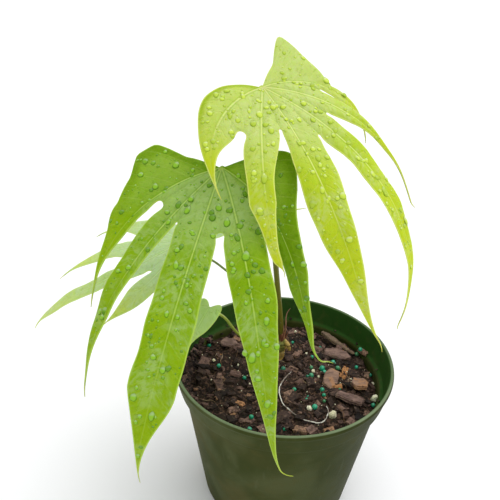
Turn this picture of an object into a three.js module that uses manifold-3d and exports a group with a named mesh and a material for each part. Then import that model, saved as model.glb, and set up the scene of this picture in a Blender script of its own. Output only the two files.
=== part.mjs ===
// Fingers anthurium with four leaves in a 6 inch nursery pot.
// Millimetres, +Z up. The origin is the middle of the pot's flat underside, and the viewer stands on -Y.

import * as THREE from 'three';
import { mergeVertices } from 'three/addons/utils/BufferGeometryUtils.js';
import Module from 'manifold-3d';

const wasm = await Module();
wasm.setup();

const DEG = Math.PI / 180;
const GAP = 0.3; // clearance between neighbouring pieces

// Pot
const POT_HEIGHT = 115;
const RIM_RADIUS = 76;
const COLLAR_FOOT_RADIUS = 72.4;
const COLLAR_HEIGHT = 17;
const NECK_RADIUS = 68.8; // outside, just under the collar
const FOOT_RADIUS = 53.5;
const WALL = 1.8;
const FLOOR = 2.2;
const SEGMENTS = 40; // round the pot and the mix
const DRAIN = { count: 6, radius: 4.5, ring: 40 };

// Potting mix
const MIX_TOP = 94;
const MIX_RADIUS = 66; // about, where it meets the wall
const MIX_FLOOR_RADIUS = 50;
const MIX_RINGS = 10;
const MIX_SEED = 7;

// Plant base
const CROWN = { x: -3, y: 28.5, foot: 80, top: 110, radius: 6.2 };

// Blades
const BLADE = 0.8; // thickness
const WEB_ROWS = 4; // rows from the junction to a cleft
const FREE_ROWS = 8; // rows from a cleft to the tip
const COLUMNS = [0, 0.13, 0.56, 1]; // stations from a rib to the margin
const RIB_STEPS = 28;
const KEEL = 0.7; // how far a rib stands out under the blade
const TIP_HALF_WIDTH = 0.45;
const PETIOLE_SIDES = 8;

const colour = (hex, roughness) => new THREE.MeshStandardMaterial({ color: hex, roughness, metalness: 0 });

const MATERIAL = {
  pot: colour(0x3f4f2c, 0.55),
  mix: colour(0x33241b, 0.95),
  darkBark: colour(0x4d3532, 0.9),
  orangeBark: colour(0x9a6848, 0.9),
  tanBark: colour(0x7a5d48, 0.9),
  root: colour(0xd9d3bf, 0.6),
  crown: colour(0x8d9a3c, 0.6),
  sheath: colour(0x7c4a34, 0.8),
  petiole: colour(0x55662a, 0.5),
  petioleGreen: colour(0x7f9c3c, 0.5),
  newBlade: colour(0xb4cc55, 0.45),
  blade: colour(0x7aa336, 0.45),
  paleBlade: colour(0xa3bb84, 0.5),
  smallBlade: colour(0x86a95e, 0.5),
};

const object = new THREE.Group();

function add(name, geometry, material) {
  const mesh = new THREE.Mesh(geometry, material);
  mesh.name = name;
  object.add(mesh);
}

// Closed solids: from a geometry to a solid for joining and cutting, and back

function solid(geometry) {
  const bare = geometry.clone();
  bare.deleteAttribute('normal');
  bare.deleteAttribute('uv');
  const merged = mergeVertices(bare, 1e-4);
  const corners = merged.index.array;
  const triangles = [];
  for (let i = 0; i < corners.length; i += 3) {
    const [a, b, c] = corners.slice(i, i + 3);
    if (a !== b && b !== c && a !== c) {
      triangles.push(a, b, c);
    }
  }
  const mesh = new wasm.Mesh({
    numProp: 3,
    vertProperties: new Float32Array(merged.attributes.position.array),
    triVerts: new Uint32Array(triangles),
  });
  return new wasm.Manifold(mesh);
}

function geometryOf(body) {
  const mesh = body.getMesh();
  const geometry = new THREE.BufferGeometry();
  geometry.setAttribute('position', new THREE.BufferAttribute(mesh.vertProperties, 3));
  geometry.setIndex(new THREE.BufferAttribute(mesh.triVerts, 1));
  return geometry;
}

function largestBody(body) {
  const bodies = body.decompose();
  return bodies.reduce((a, b) => (b.volume() > a.volume() ? b : a));
}

// Seeded draws, so that every run gives the same plant

function seededDraws(seed) {
  let state = seed;
  return () => {
    state = (state * 16807) % 2147483647;
    return state / 2147483647;
  };
}

// Tubes: rings of points carried along a smooth path, closed by a fan at each end

function sweep(path, radiusAt, steps, sides) {
  const curve = new THREE.CatmullRomCurve3(path, false, 'centripetal');
  const positions = [];
  const across = new THREE.Vector3(1, 0.2, 0.1);
  for (let i = 0; i <= steps; i += 1) {
    const centre = curve.getPointAt(i / steps);
    const along = curve.getTangentAt(i / steps);
    across.addScaledVector(along, -along.dot(across)).normalize();
    const other = along.clone().cross(across);
    const radius = radiusAt(i / steps);
    for (let j = 0; j < sides; j += 1) {
      const angle = (j / sides) * 2 * Math.PI;
      const p = centre.clone();
      p.addScaledVector(across, radius * Math.cos(angle));
      p.addScaledVector(other, radius * Math.sin(angle));
      positions.push(p.x, p.y, p.z);
    }
  }
  const first = curve.getPointAt(0);
  const last = curve.getPointAt(1);
  positions.push(first.x, first.y, first.z, last.x, last.y, last.z);
  const index = [];
  const startCap = (steps + 1) * sides;
  for (let j = 0; j < sides; j += 1) {
    const k = (j + 1) % sides;
    for (let i = 0; i < steps; i += 1) {
      const a = i * sides + j;
      const b = i * sides + k;
      index.push(a, b, b + sides, a, b + sides, a + sides);
    }
    index.push(startCap, k, j);
    index.push(startCap + 1, steps * sides + j, steps * sides + k);
  }
  const geometry = new THREE.BufferGeometry();
  geometry.setAttribute('position', new THREE.Float32BufferAttribute(positions, 3));
  geometry.setIndex(index);
  return geometry;
}

const vec = (x, y, z) => new THREE.Vector3(x, y, z);

// Pot: one thin wall with a rounded lip, a collar that narrows downwards, a step and a tapered body

function potProfile() {
  const collarFoot = POT_HEIGHT - COLLAR_HEIGHT;
  const outside = [
    [0, 0],
    [FOOT_RADIUS - 2, 0],
    [FOOT_RADIUS - 0.5, 0.8],
    [FOOT_RADIUS, 2.5],
    [NECK_RADIUS, collarFoot - 3],
    [NECK_RADIUS + 0.6, collarFoot - 1.6],
    [COLLAR_FOOT_RADIUS - 0.6, collarFoot],
    [COLLAR_FOOT_RADIUS, collarFoot + 1],
    [RIM_RADIUS - 0.8, POT_HEIGHT - 3.8],
    [RIM_RADIUS, POT_HEIGHT - 3],
    [RIM_RADIUS, POT_HEIGHT - 0.9],
    [RIM_RADIUS - 0.8, POT_HEIGHT],
  ];
  const inside = [
    [RIM_RADIUS - 2.1, POT_HEIGHT],
    [RIM_RADIUS - 2.7, POT_HEIGHT - 0.8],
    [COLLAR_FOOT_RADIUS - WALL, collarFoot + 1.8],
    [COLLAR_FOOT_RADIUS - WALL - 0.8, collarFoot + 0.9],
    [NECK_RADIUS - WALL + 0.3, collarFoot - 0.6],
    [NECK_RADIUS - WALL, collarFoot - 2.4],
    [FOOT_RADIUS - WALL, FLOOR + 1],
    [FOOT_RADIUS - WALL - 1, FLOOR],
    [0, FLOOR],
  ];
  return [...outside, ...inside].map(([r, z]) => new THREE.Vector2(r, z));
}

function upright(geometry) {
  return geometry.rotateX(Math.PI / 2); // a lathe or cylinder about Y becomes one about Z
}

function pot() {
  let body = solid(upright(new THREE.LatheGeometry(potProfile(), SEGMENTS)));
  if (body.volume() < 0) {
    throw new Error('the pot wall is inside out');
  }
  for (let i = 0; i < DRAIN.count; i += 1) {
    const angle = ((i + 0.5) / DRAIN.count) * 2 * Math.PI;
    const hole = upright(new THREE.CylinderGeometry(DRAIN.radius, DRAIN.radius, 4 * FLOOR, 12));
    hole.translate(DRAIN.ring * Math.cos(angle), DRAIN.ring * Math.sin(angle), 0);
    body = body.subtract(solid(hole));
  }
  return geometryOf(body);
}

// Potting mix: its top is a sum of waves, a little higher at the back, with crumbs, perlite and prills on it

function mixHeight(x, y) {
  const lumps = 1.1 * Math.sin(x / 5.3 + 1.3 * Math.sin(y / 9.1)) * Math.cos(y / 6.1 - 0.8);
  const swell = 1.3 * Math.sin(x / 14 - 0.6) * Math.sin(y / 17 + 1.1);
  const slope = 0.018 * y;
  const edge = -1.6 * (Math.hypot(x, y) / MIX_RADIUS) ** 4;
  return MIX_TOP + lumps + swell + slope + edge;
}

function wallRadius(z) {
  const top = POT_HEIGHT - COLLAR_HEIGHT - 2.4;
  const share = (z - FLOOR - 1) / (top - FLOOR - 1);
  return FOOT_RADIUS - WALL + (NECK_RADIUS - FOOT_RADIUS) * share;
}

function mixBody() {
  const positions = [0, 0, mixHeight(0, 0)];
  const ringPoints = (placeAt) => {
    for (let j = 0; j < SEGMENTS; j += 1) {
      const angle = (j / SEGMENTS) * 2 * Math.PI;
      const [radius, z] = placeAt(Math.cos(angle), Math.sin(angle));
      positions.push(radius * Math.cos(angle), radius * Math.sin(angle), z);
    }
  };
  for (let i = 1; i < MIX_RINGS; i += 1) {
    const radius = (MIX_RADIUS * i) / MIX_RINGS;
    ringPoints((cos, sin) => [radius, mixHeight(radius * cos, radius * sin)]);
  }
  ringPoints((cos, sin) => {
    const z = mixHeight(MIX_RADIUS * cos, MIX_RADIUS * sin);
    return [wallRadius(z) - GAP, z];
  });
  ringPoints(() => [MIX_FLOOR_RADIUS, FLOOR + GAP]);
  positions.push(0, 0, FLOOR + GAP);
  const index = [];
  const bands = MIX_RINGS + 1;
  for (let j = 0; j < SEGMENTS; j += 1) {
    const k = (j + 1) % SEGMENTS;
    index.push(0, 1 + j, 1 + k);
    for (let i = 0; i < bands - 1; i += 1) {
      const a = 1 + i * SEGMENTS;
      const b = a + SEGMENTS;
      index.push(a + j, b + j, b + k, a + j, b + k, a + k);
    }
    const last = 1 + (bands - 1) * SEGMENTS;
    index.push(last + k, last + j, last + SEGMENTS);
  }
  const geometry = new THREE.BufferGeometry();
  geometry.setAttribute('position', new THREE.Float32BufferAttribute(positions, 3));
  geometry.setIndex(index);
  return geometry;
}

// Large bark chips: an outline cut from a slab, laid on the mix and tilted; the same shape cuts its pocket

const CHIPS = [
  {
    name: 'bark_splinter', material: MATERIAL.tanBark, at: [43, 42, 97.2],
    turn: -43, tilt: [3, 7], thick: 2.6,
    outline: [[-16, -1.6], [-9, -2.6], [6, -2.2], [15.5, -1.2], [16, 0.9], [4, 2.3], [-10, 2.5], [-16, 1.2]],
  },
  {
    name: 'bark_plate_dark', material: MATERIAL.darkBark, at: [40, 30.5, 97],
    turn: 8, tilt: [4, -5], thick: 2.4,
    outline: [[-8, -7], [5, -8], [9, -2], [5, 4], [-2, 7], [-8, 4]],
  },
  {
    name: 'bark_plate_orange', material: MATERIAL.orangeBark, at: [34.5, 0.5, 96.4],
    turn: 70, tilt: [8, -12], thick: 2.6,
    outline: [[-9, -3], [-2, -5.5], [8, -4], [9, 2], [3, 5], [-6, 4]],
  },
  {
    name: 'bark_block_orange', material: MATERIAL.orangeBark, at: [54.5, 0, 96],
    turn: 8, tilt: [-10, 4], thick: 3.4,
    outline: [[-5, -5], [3, -6], [5.5, -1], [4, 5], [-3, 6], [-6, 1]],
  },
  {
    name: 'bark_plank', material: MATERIAL.darkBark, at: [46, -18, 96], turn: -24, tilt: [-12, 3], thick: 3,
    outline: [[-9, -3], [2, -4.2], [9, -3], [9.5, 2], [1, 4], [-8.5, 3]],
  },
  {
    name: 'bark_chip_red', material: MATERIAL.darkBark, at: [-39, 37, 97],
    turn: 10, tilt: [10, 6], thick: 2.4,
    outline: [[-6, -3.5], [1, -4.5], [6.5, -2], [5, 3.5], [-2, 4.5], [-6.5, 1]],
  },
];

function chip(spec, grow) {
  const outline = spec.outline.map(([x, y]) => {
    const stretch = 1 + grow / Math.hypot(x, y);
    return new THREE.Vector2(x * stretch, y * stretch);
  });
  const depth = spec.thick + 2 * grow;
  const geometry = new THREE.ExtrudeGeometry(new THREE.Shape(outline), { depth, bevelEnabled: false });
  geometry.translate(0, 0, -depth / 2);
  geometry.rotateX(spec.tilt[0] * DEG);
  geometry.rotateY(spec.tilt[1] * DEG);
  geometry.rotateZ(spec.turn * DEG);
  geometry.translate(...spec.at);
  return geometry;
}

// Loose white root: it lies on the mix in a hook, half sunk in a groove

const ROOT_RADIUS = 0.75;
const ROOT_ROUTE = [
  [8, 15], [6, 7], [1, 0], [-2.5, -8], [-2, -15], [1, -22],
  [6, -28], [12, -32.5], [19, -35], [26, -35], [30, -30], [30, -23],
];

function looseRoot(grow) {
  const path = ROOT_ROUTE.map(([x, y]) => vec(x, y, mixHeight(x, y) + 0.9));
  return sweep(path, () => ROOT_RADIUS + grow, 32, 5);
}

// Small things on the mix, by a seeded rule: bark crumbs all over, prills and perlite thicker on the right

const CRUMBS = 46;
const PRILLS = 24;
const PERLITE = 18;
const PRILL_RADIUS = 1.7;
const KEEP_CLEAR = 3.5; // from the loose root and the plant base
const CHIP_CLEAR = 7; // from the middle of a chip

function clearOfPieces(x, y, reach) {
  const nearBase = Math.hypot(x - CROWN.x, y - CROWN.y) < CROWN.radius + KEEP_CLEAR + reach;
  const nearRoot = ROOT_ROUTE.some(([rx, ry]) => Math.hypot(x - rx, y - ry) < KEEP_CLEAR + reach);
  const nearChip = CHIPS.some(({ at }) => Math.hypot(x - at[0], y - at[1]) < CHIP_CLEAR + reach);
  return !nearBase && !nearRoot && !nearChip;
}

function scatter(draw, count, reach, lean) {
  const places = [];
  while (places.length < count) {
    const radius = (MIX_RADIUS - 4 - reach) * Math.sqrt(draw());
    const angle = draw() * 2 * Math.PI;
    const x = radius * Math.cos(angle);
    const y = radius * Math.sin(angle);
    const wanted = draw() < 1 - lean * (0.5 - x / (2 * MIX_RADIUS));
    const apart = places.every((p) => Math.hypot(p.x - x, p.y - y) > 2.2 * reach);
    if (wanted && apart && clearOfPieces(x, y, reach)) {
      places.push({ x, y, spin: draw() * Math.PI, tip: (draw() - 0.5) * 0.9, size: draw() });
    }
  }
  return places;
}

function placed(geometry, place, rise) {
  geometry.rotateX(place.tip);
  geometry.rotateZ(place.spin);
  geometry.translate(place.x, place.y, mixHeight(place.x, place.y) + rise);
  return solid(geometry);
}

function smallThings() {
  const draw = seededDraws(MIX_SEED);
  const crumbs = scatter(draw, CRUMBS, 2.4, 0).map((place) => {
    const long = 4 + 5 * place.size;
    const crumb = new THREE.BoxGeometry(long, long * 0.62, 3.4);
    return placed(crumb, place, 0.3);
  });
  const prills = scatter(draw, PRILLS, PRILL_RADIUS, 0.8).map((place) => (
    placed(new THREE.OctahedronGeometry(PRILL_RADIUS, 0), place, 0.7)
  ));
  const perlite = scatter(draw, PERLITE, 1.8, 0.5).map((place) => (
    placed(new THREE.OctahedronGeometry(1.5 + 1.2 * place.size, 0), place, 0.6)
  ));
  return [...crumbs, ...prills, ...perlite];
}

function pottingMix(crownPocket) {
  const heaped = wasm.Manifold.union([solid(mixBody()), ...smallThings()]);
  const pockets = CHIPS.map((spec) => solid(chip(spec, GAP)));
  const cuts = [...pockets, solid(looseRoot(GAP)), crownPocket];
  return geometryOf(largestBody(heaped.subtract(wasm.Manifold.union(cuts))));
}

// Blades. A finger is followed from the junction as a frame that goes forward, turns sideways in the blade
// (sway), bends down (droop), rolls (twist) and hooks near the tip. Neighbours share a web up to their cleft.

function turnPair(a, b, angle) {
  const c = Math.cos(angle);
  const s = Math.sin(angle);
  const turned = a.clone().multiplyScalar(c).addScaledVector(b, s);
  b.multiplyScalar(c).addScaledVector(a, -s);
  a.copy(turned);
}

function bladeFrame(leaf) {
  const h = leaf.heading * DEG;
  const p = leaf.pitch * DEG;
  const along = vec(Math.cos(p) * Math.cos(h), Math.cos(p) * Math.sin(h), Math.sin(p));
  const across = vec(-Math.sin(h), Math.cos(h), 0);
  const up = along.clone().cross(across);
  turnPair(across, up, leaf.roll * DEG);
  return { along, across, up };
}

function ribCurve(leaf, finger) {
  const { along, across, up } = bladeFrame(leaf);
  turnPair(along, across, finger.fan * DEG);
  const point = vec(...leaf.junction);
  const points = [point.clone()];
  const sides = [across.clone()];
  const aheads = [along.clone()];
  for (let i = 0; i < RIB_STEPS; i += 1) {
    const t = (i + 0.5) / RIB_STEPS;
    const hook = finger.hook * 24.9 * Math.max(0, t - 0.8);
    turnPair(along, across, ((finger.sway + hook) / RIB_STEPS) * DEG);
    turnPair(along, up, ((-finger.droop * 2 * t) / RIB_STEPS) * DEG);
    turnPair(across, up, (finger.twist / RIB_STEPS) * DEG);
    point.addScaledVector(along, finger.length / RIB_STEPS);
    points.push(point.clone());
    sides.push(across.clone());
    aheads.push(along.clone());
  }
  return { points, sides, aheads };
}

function sample(list, t) {
  const x = Math.min(Math.max(t, 0), 1) * RIB_STEPS;
  const i = Math.min(Math.floor(x), RIB_STEPS - 1);
  return list[i].clone().lerp(list[i + 1], x - i);
}

const easeOut = (x) => 0.5 * (1 + Math.cos(Math.PI * Math.min(Math.max(x, 0), 1)));

function halfWidth(finger, side, t) {
  const share = side > 0 ? finger.skew : 1 - finger.skew;
  const u = Math.max(0, (t - finger.belly) / (1 - finger.belly));
  return finger.width * share * easeOut(u ** finger.full);
}

function cleftPoint(leaf, curves, cleft, row) {
  const { reach, share } = leaf.clefts[cleft];
  const distance = (reach * row) / WEB_ROWS;
  const a = sample(curves[cleft].points, distance / leaf.fingers[cleft].length);
  const b = sample(curves[cleft + 1].points, distance / leaf.fingers[cleft + 1].length);
  return a.lerp(b, share);
}

function freeMargin(leaf, curves, k, side, cleft, row) {
  const finger = leaf.fingers[k];
  const curve = curves[k];
  const start = leaf.clefts[cleft].reach / finger.length;
  const t = start + ((1 - start) * (row - WEB_ROWS)) / FREE_ROWS;
  const root = cleftPoint(leaf, curves, cleft, WEB_ROWS).sub(sample(curve.points, start));
  const rootWidth = root.length();
  const hold = easeOut((t - start) / 0.3);
  const direction = sample(curve.sides, t).multiplyScalar(side * (1 - hold));
  direction.addScaledVector(root, hold / rootWidth).normalize();
  const width = halfWidth(finger, side, t) + (rootWidth - halfWidth(finger, side, start)) * hold;
  return sample(curve.points, t).addScaledVector(direction, Math.max(width, TIP_HALF_WIDTH));
}

function lobeMargin(leaf, curves, k, side, t) {
  const finger = leaf.fingers[k];
  const { extra, reach, rise, lean } = finger.lobe;
  const distance = t * finger.length;
  const swell = easeOut(distance / reach);
  const growth = Math.sin((Math.PI / 2) * Math.min(1, distance / rise));
  const width = Math.max((halfWidth(finger, side, t) + extra * swell) * growth, TIP_HALF_WIDTH);
  const angle = lean * DEG * swell;
  const point = sample(curves[k].points, t);
  point.addScaledVector(sample(curves[k].sides, t), side * width * Math.cos(angle));
  return point.addScaledVector(sample(curves[k].aheads, t), -width * Math.sin(angle));
}

function ribStation(leaf, k, row) {
  const reaches = [leaf.clefts[k - 1], leaf.clefts[k]].filter(Boolean).map((cleft) => cleft.reach);
  const length = leaf.fingers[k].length;
  const mean = reaches.length ? reaches.reduce((a, b) => a + b) / reaches.length / length : 0.3;
  return row <= WEB_ROWS ? (mean * row) / WEB_ROWS : mean + ((1 - mean) * (row - WEB_ROWS)) / FREE_ROWS;
}

// The blade's middle sheet: shared points at the junction, on each rib and on each web line

function bladeSheet(leaf) {
  const rows = WEB_ROWS + FREE_ROWS;
  const last = COLUMNS.length - 1;
  const curves = leaf.fingers.map((finger) => ribCurve(leaf, finger));
  const points = [vec(...leaf.junction)];
  const crest = [0]; // how far a point bulges up between ribs
  const keel = [KEEL];
  const triangles = [];
  const known = new Map([['junction', 0]]);
  const pointAt = (key, make, bulge, rib) => {
    if (!known.has(key)) {
      known.set(key, points.length);
      points.push(make());
      crest.push(bulge);
      keel.push(rib);
    }
    return known.get(key);
  };
  leaf.fingers.forEach((finger, k) => {
    [-1, 1].forEach((side) => {
      const cleft = side < 0 ? k - 1 : k;
      const shared = cleft >= 0 && cleft < leaf.clefts.length;
      const rib = (row) => sample(curves[k].points, ribStation(leaf, k, row));
      const margin = (row) => {
        if (!shared) {
          return lobeMargin(leaf, curves, k, side, ribStation(leaf, k, row));
        }
        if (row <= WEB_ROWS) {
          return cleftPoint(leaf, curves, cleft, row);
        }
        return freeMargin(leaf, curves, k, side, cleft, row);
      };
      const vertex = (row, column) => {
        const fadeOut = 1 - row / rows;
        if (row === 0) {
          return 0;
        }
        if (column === 0) {
          return pointAt(`rib ${k} ${row}`, () => rib(row), 0, KEEL * (0.25 + 0.75 * fadeOut));
        }
        if (column === last) {
          const key = shared && row <= WEB_ROWS ? `web ${cleft} ${row}` : `edge ${k} ${side} ${row}`;
          return pointAt(key, () => margin(row), 0, 0);
        }
        const u = COLUMNS[column];
        const bulge = leaf.quilt * Math.sin(Math.PI * u) * Math.sin(Math.PI * Math.sqrt(row / rows));
        return pointAt(`in ${k} ${side} ${row} ${column}`, () => rib(row).lerp(margin(row), u), bulge, 0);
      };
      for (let row = 0; row < rows; row += 1) {
        for (let column = 0; column < last; column += 1) {
          const a = vertex(row, column);
          const b = vertex(row + 1, column);
          const c = vertex(row + 1, column + 1);
          const d = vertex(row, column + 1);
          const quad = [[a, b, c], [a, c, d]];
          quad.filter(([p, q, r]) => p !== q && q !== r && p !== r).forEach(([p, q, r]) => {
            triangles.push(side > 0 ? [p, q, r] : [p, r, q]);
          });
        }
      }
    });
  });
  return { points, crest, keel, triangles };
}

function sheetNormals(points, triangles) {
  const normals = points.map(() => vec(0, 0, 0));
  triangles.forEach(([a, b, c]) => {
    const face = points[b].clone().sub(points[a]).cross(points[c].clone().sub(points[a]));
    [a, b, c].forEach((i) => normals[i].add(face));
  });
  return normals.map((n) => n.normalize());
}

function blade(leaf) {
  const { points, crest, keel, triangles } = bladeSheet(leaf);
  const flat = sheetNormals(points, triangles);
  points.forEach((p, i) => p.addScaledVector(flat[i], crest[i]));
  const normals = sheetNormals(points, triangles);
  const top = points.map((p, i) => p.clone().addScaledVector(normals[i], BLADE / 2));
  const under = points.map((p, i) => p.clone().addScaledVector(normals[i], -BLADE / 2 - keel[i]));
  const count = points.length;
  const index = [];
  const edges = new Set();
  triangles.forEach(([a, b, c]) => {
    index.push(a, b, c, a + count, c + count, b + count);
    [[a, b], [b, c], [c, a]].forEach(([p, q]) => edges.add(`${p} ${q}`));
  });
  edges.forEach((edge) => {
    const [p, q] = edge.split(' ').map(Number);
    if (!edges.has(`${q} ${p}`)) {
      index.push(q, p, p + count, q, p + count, q + count);
    }
  });
  const geometry = new THREE.BufferGeometry();
  const positions = [...top, ...under].flatMap((p) => [p.x, p.y, p.z]);
  geometry.setAttribute('position', new THREE.Float32BufferAttribute(positions, 3));
  geometry.setIndex(index);
  return geometry;
}

// Petioles: from a socket in the plant base to the underside of the junction, square to the blade at the end

function petiole(leaf, grow = 0) {
  const { up } = bladeFrame(leaf);
  const junction = vec(...leaf.junction);
  const below = (depth) => junction.clone().addScaledVector(up, -depth);
  const seat = BLADE / 2 + KEEL + GAP;
  const { from, via, radius, tipRadius } = leaf.petiole;
  const path = [...from, ...via].map((p) => vec(...p));
  path.push(below(seat + 7), below(seat + 3), below(seat));
  const width = (t) => grow + radius + (tipRadius - radius) * Math.sin((Math.PI / 2) * t);
  return sweep(path, width, leaf.petiole.steps, PETIOLE_SIDES);
}

// Leaves. Angles in degrees: heading over the ground and pitch are the blade's axis where it leaves the
// junction, and a finger's fan is measured from that axis. Cleft distances are along the ribs.

const LEAF_A = {
  junction: [-23, -4.5, 303],
  heading: -65.5,
  pitch: -37,
  roll: 5,
  quilt: 1.1,
  fingers: [
    {
      fan: -81, length: 78, sway: 90, droop: 46, twist: 11, hook: -3,
      width: 29, skew: 0.47, belly: 0.32, full: 0.71,
      lobe: { extra: -2, reach: 48, rise: 24, lean: -6 },
    },
    {
      fan: -24.5, length: 109, sway: 27, droop: 46, twist: 15, hook: 10,
      width: 15, skew: 0.42, belly: 0.42, full: 1.39,
    },
    {
      fan: 16.5, length: 161, sway: -19.5, droop: 42, twist: 33, hook: 21,
      width: 20.5, skew: 0.42, belly: 0.42, full: 1.1,
    },
    {
      fan: 52, length: 172, sway: -55.5, droop: 66, twist: -13, hook: 1,
      width: 14.5, skew: 0.49, belly: 0.34, full: 1.1,
    },
    {
      fan: 76, length: 118, sway: -61.5, droop: 40, twist: 2, hook: 8,
      width: 13, skew: 0.55, belly: 0.32, full: 0.6,
    },
    {
      fan: 102.5, length: 84, sway: -78.5, droop: 58, twist: 10, hook: 2,
      width: 11.5, skew: 0.43, belly: 0.31, full: 1.05,
      lobe: { extra: 31, reach: 44, rise: 14, lean: -25 },
    },
  ],
  clefts: [
    { reach: 33, share: 0.56 },
    { reach: 28, share: 0.63 },
    { reach: 41, share: 0.64 },
    { reach: 38, share: 0.54 },
    { reach: 34, share: 0.73 },
  ],
  petiole: {
    from: [[0, 28, 106]],
    via: [[-1.2, 26.6, 118], [-6.9, 18.6, 165], [-13.6, 9.2, 220], [-19.6, 0.8, 270]],
    radius: 2.15,
    tipRadius: 1.8,
    steps: 22,
  },
};

const LEAF_B = {
  junction: [-43.5, -20, 261.5],
  heading: -100,
  pitch: -38.5,
  roll: 3.5,
  quilt: 1.3,
  fingers: [
    {
      fan: -70.5, length: 114, sway: 66, droop: 31, twist: -2, hook: -1.5,
      width: 36.5, skew: 0.29, belly: 0.29, full: 0.6,
      lobe: { extra: 12.5, reach: 56.5, rise: 20.5, lean: -40 },
    },
    {
      fan: -36, length: 154, sway: 16.5, droop: 45, twist: 11, hook: 4,
      width: 12.5, skew: 0.2, belly: 0.44, full: 1.23,
    },
    {
      fan: -5.5, length: 184.5, sway: -5.5, droop: 50, twist: -4, hook: 15.5,
      width: 27, skew: 0.48, belly: 0.63, full: 0.98,
    },
    {
      fan: 26.5, length: 189, sway: -23.5, droop: 68.5, twist: 16, hook: 23.5,
      width: 24.5, skew: 0.56, belly: 0.34, full: 0.93,
    },
    {
      fan: 65, length: 160, sway: -97.5, droop: 80, twist: 74.5, hook: 12,
      width: 26, skew: 0.54, belly: 0.19, full: 0.8,
      lobe: { extra: 25.5, reach: 54.5, rise: 26, lean: -12 },
    },
  ],
  clefts: [
    { reach: 38.5, share: 0.34 },
    { reach: 40, share: 0.23 },
    { reach: 40, share: 0.51 },
    { reach: 37, share: 0.69 },
  ],
  petiole: {
    from: [[-4.8, 26.8, 106]],
    via: [[-6.4, 25, 116], [-16, 13.5, 160], [-29, -1, 212]],
    radius: 1.9,
    tipRadius: 1.6,
    steps: 20,
  },
};

const LEAF_C = {
  junction: [-69.5, 15, 195.5],
  heading: 197,
  pitch: -12,
  roll: -5,
  quilt: 0.8,
  fingers: [
    {
      fan: -173, length: 86, sway: -10.5, droop: 9, twist: 0, hook: 1,
      width: 16, skew: 0.5, belly: 0.4, full: 1.3,
      lobe: { extra: 4, reach: 40, rise: 18, lean: 0 },
    },
    {
      fan: -56.5, length: 85, sway: 21, droop: 34, twist: 1, hook: 0,
      width: 12, skew: 0.5, belly: 0.4, full: 1.3,
    },
    {
      fan: -20, length: 92, sway: 10.5, droop: 33, twist: -1, hook: -1,
      width: 13.5, skew: 0.49, belly: 0.44, full: 1.2,
    },
    {
      fan: 26, length: 128, sway: -59, droop: 55, twist: 6, hook: 2,
      width: 12.5, skew: 0.44, belly: 0.43, full: 1.9,
    },
    {
      fan: 58.5, length: 80, sway: -47, droop: 31, twist: -4, hook: -3,
      width: 17, skew: 0.54, belly: 0.47, full: 1.5,
    },
    {
      fan: 80, length: 51, sway: -14, droop: 19, twist: -1, hook: 0,
      width: 15, skew: 0.5, belly: 0.4, full: 1.3,
      lobe: { extra: 5, reach: 40, rise: 18, lean: 0 },
    },
  ],
  clefts: [
    { reach: 28, share: 0.5 },
    { reach: 28, share: 0.5 },
    { reach: 27, share: 0.75 },
    { reach: 33, share: 0.58 },
    { reach: 29, share: 0.49 },
  ],
  petiole: {
    from: [[-6.4, 31, 106]],
    via: [[-8.5, 31, 114], [-22, 27.5, 145], [-44, 22, 171.5], [-54, 19, 180.5]],
    radius: 1.3,
    tipRadius: 1.1,
    steps: 20,
  },
};

const LEAF_D = {
  junction: [-52, 5, 150],
  heading: -126,
  pitch: -38.5,
  roll: 6.5,
  quilt: 0.9,
  fingers: [
    {
      fan: 0, length: 30, sway: 0, droop: 18, twist: 0, hook: 0, width: 25, skew: 0.5, belly: 0.14, full: 1.08,
      lobe: { extra: 1, reach: 18, rise: 7, lean: 61 },
    },
  ],
  clefts: [],
  petiole: {
    from: [[-6.5, 29.2, 97.5]],
    via: [[-16, 27, 101.5], [-31, 22, 115.5], [-44, 12.5, 139]],
    radius: 1.15,
    tipRadius: 0.95,
    steps: 16,
  },
};

const LEAVES = [LEAF_A, LEAF_B, LEAF_C, LEAF_D];

// Plant base: a short shoot with a root stub, a bulge and a nub, and a socket for each petiole

const STUB = { path: [[0.3, 27.5, 109], [3, 25.4, 108.2], [5.8, 23.6, 102.5]], radius: 1.5 };

function crown(grow) {
  const { foot, top, radius } = CROWN;
  const profile = [
    [0, foot],
    [3, foot],
    [5.2, foot + 8],
    [radius, foot + 16],
    [radius, top - 6],
    [radius - 1.4, top - 1.5],
    [2.5, top],
    [0, top],
  ];
  const lathe = new THREE.LatheGeometry(profile.map(([r, z]) => new THREE.Vector2(r ? r + grow : 0, z)), 12);
  const shoot = upright(lathe).translate(CROWN.x, CROWN.y, 0);
  const stub = sweep(STUB.path.map((p) => vec(...p)), (t) => grow + STUB.radius * (t > 0.95 ? 0.7 : 1), 6, 6);
  const bulge = new THREE.IcosahedronGeometry(2.6 + grow, 0).scale(1, 1, 1.6).translate(0, 25.6, 105);
  const nub = new THREE.IcosahedronGeometry(1.9 + grow, 0).translate(0.4, 24.8, 98.5);
  return wasm.Manifold.union([shoot, stub, bulge, nub].map(solid));
}

// Papery sheath round the foot of the first petiole, open at the back, drawn out into a thin spike

const SHEATH = { bottom: 112, top: 121.5, wall: 0.8 };
const SPIKE = [[1.7, 25.7, 117], [1.8, 25.2, 124], [1.5, 24.4, 131], [2.2, 23.8, 136], [4, 23, 140]];

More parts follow.
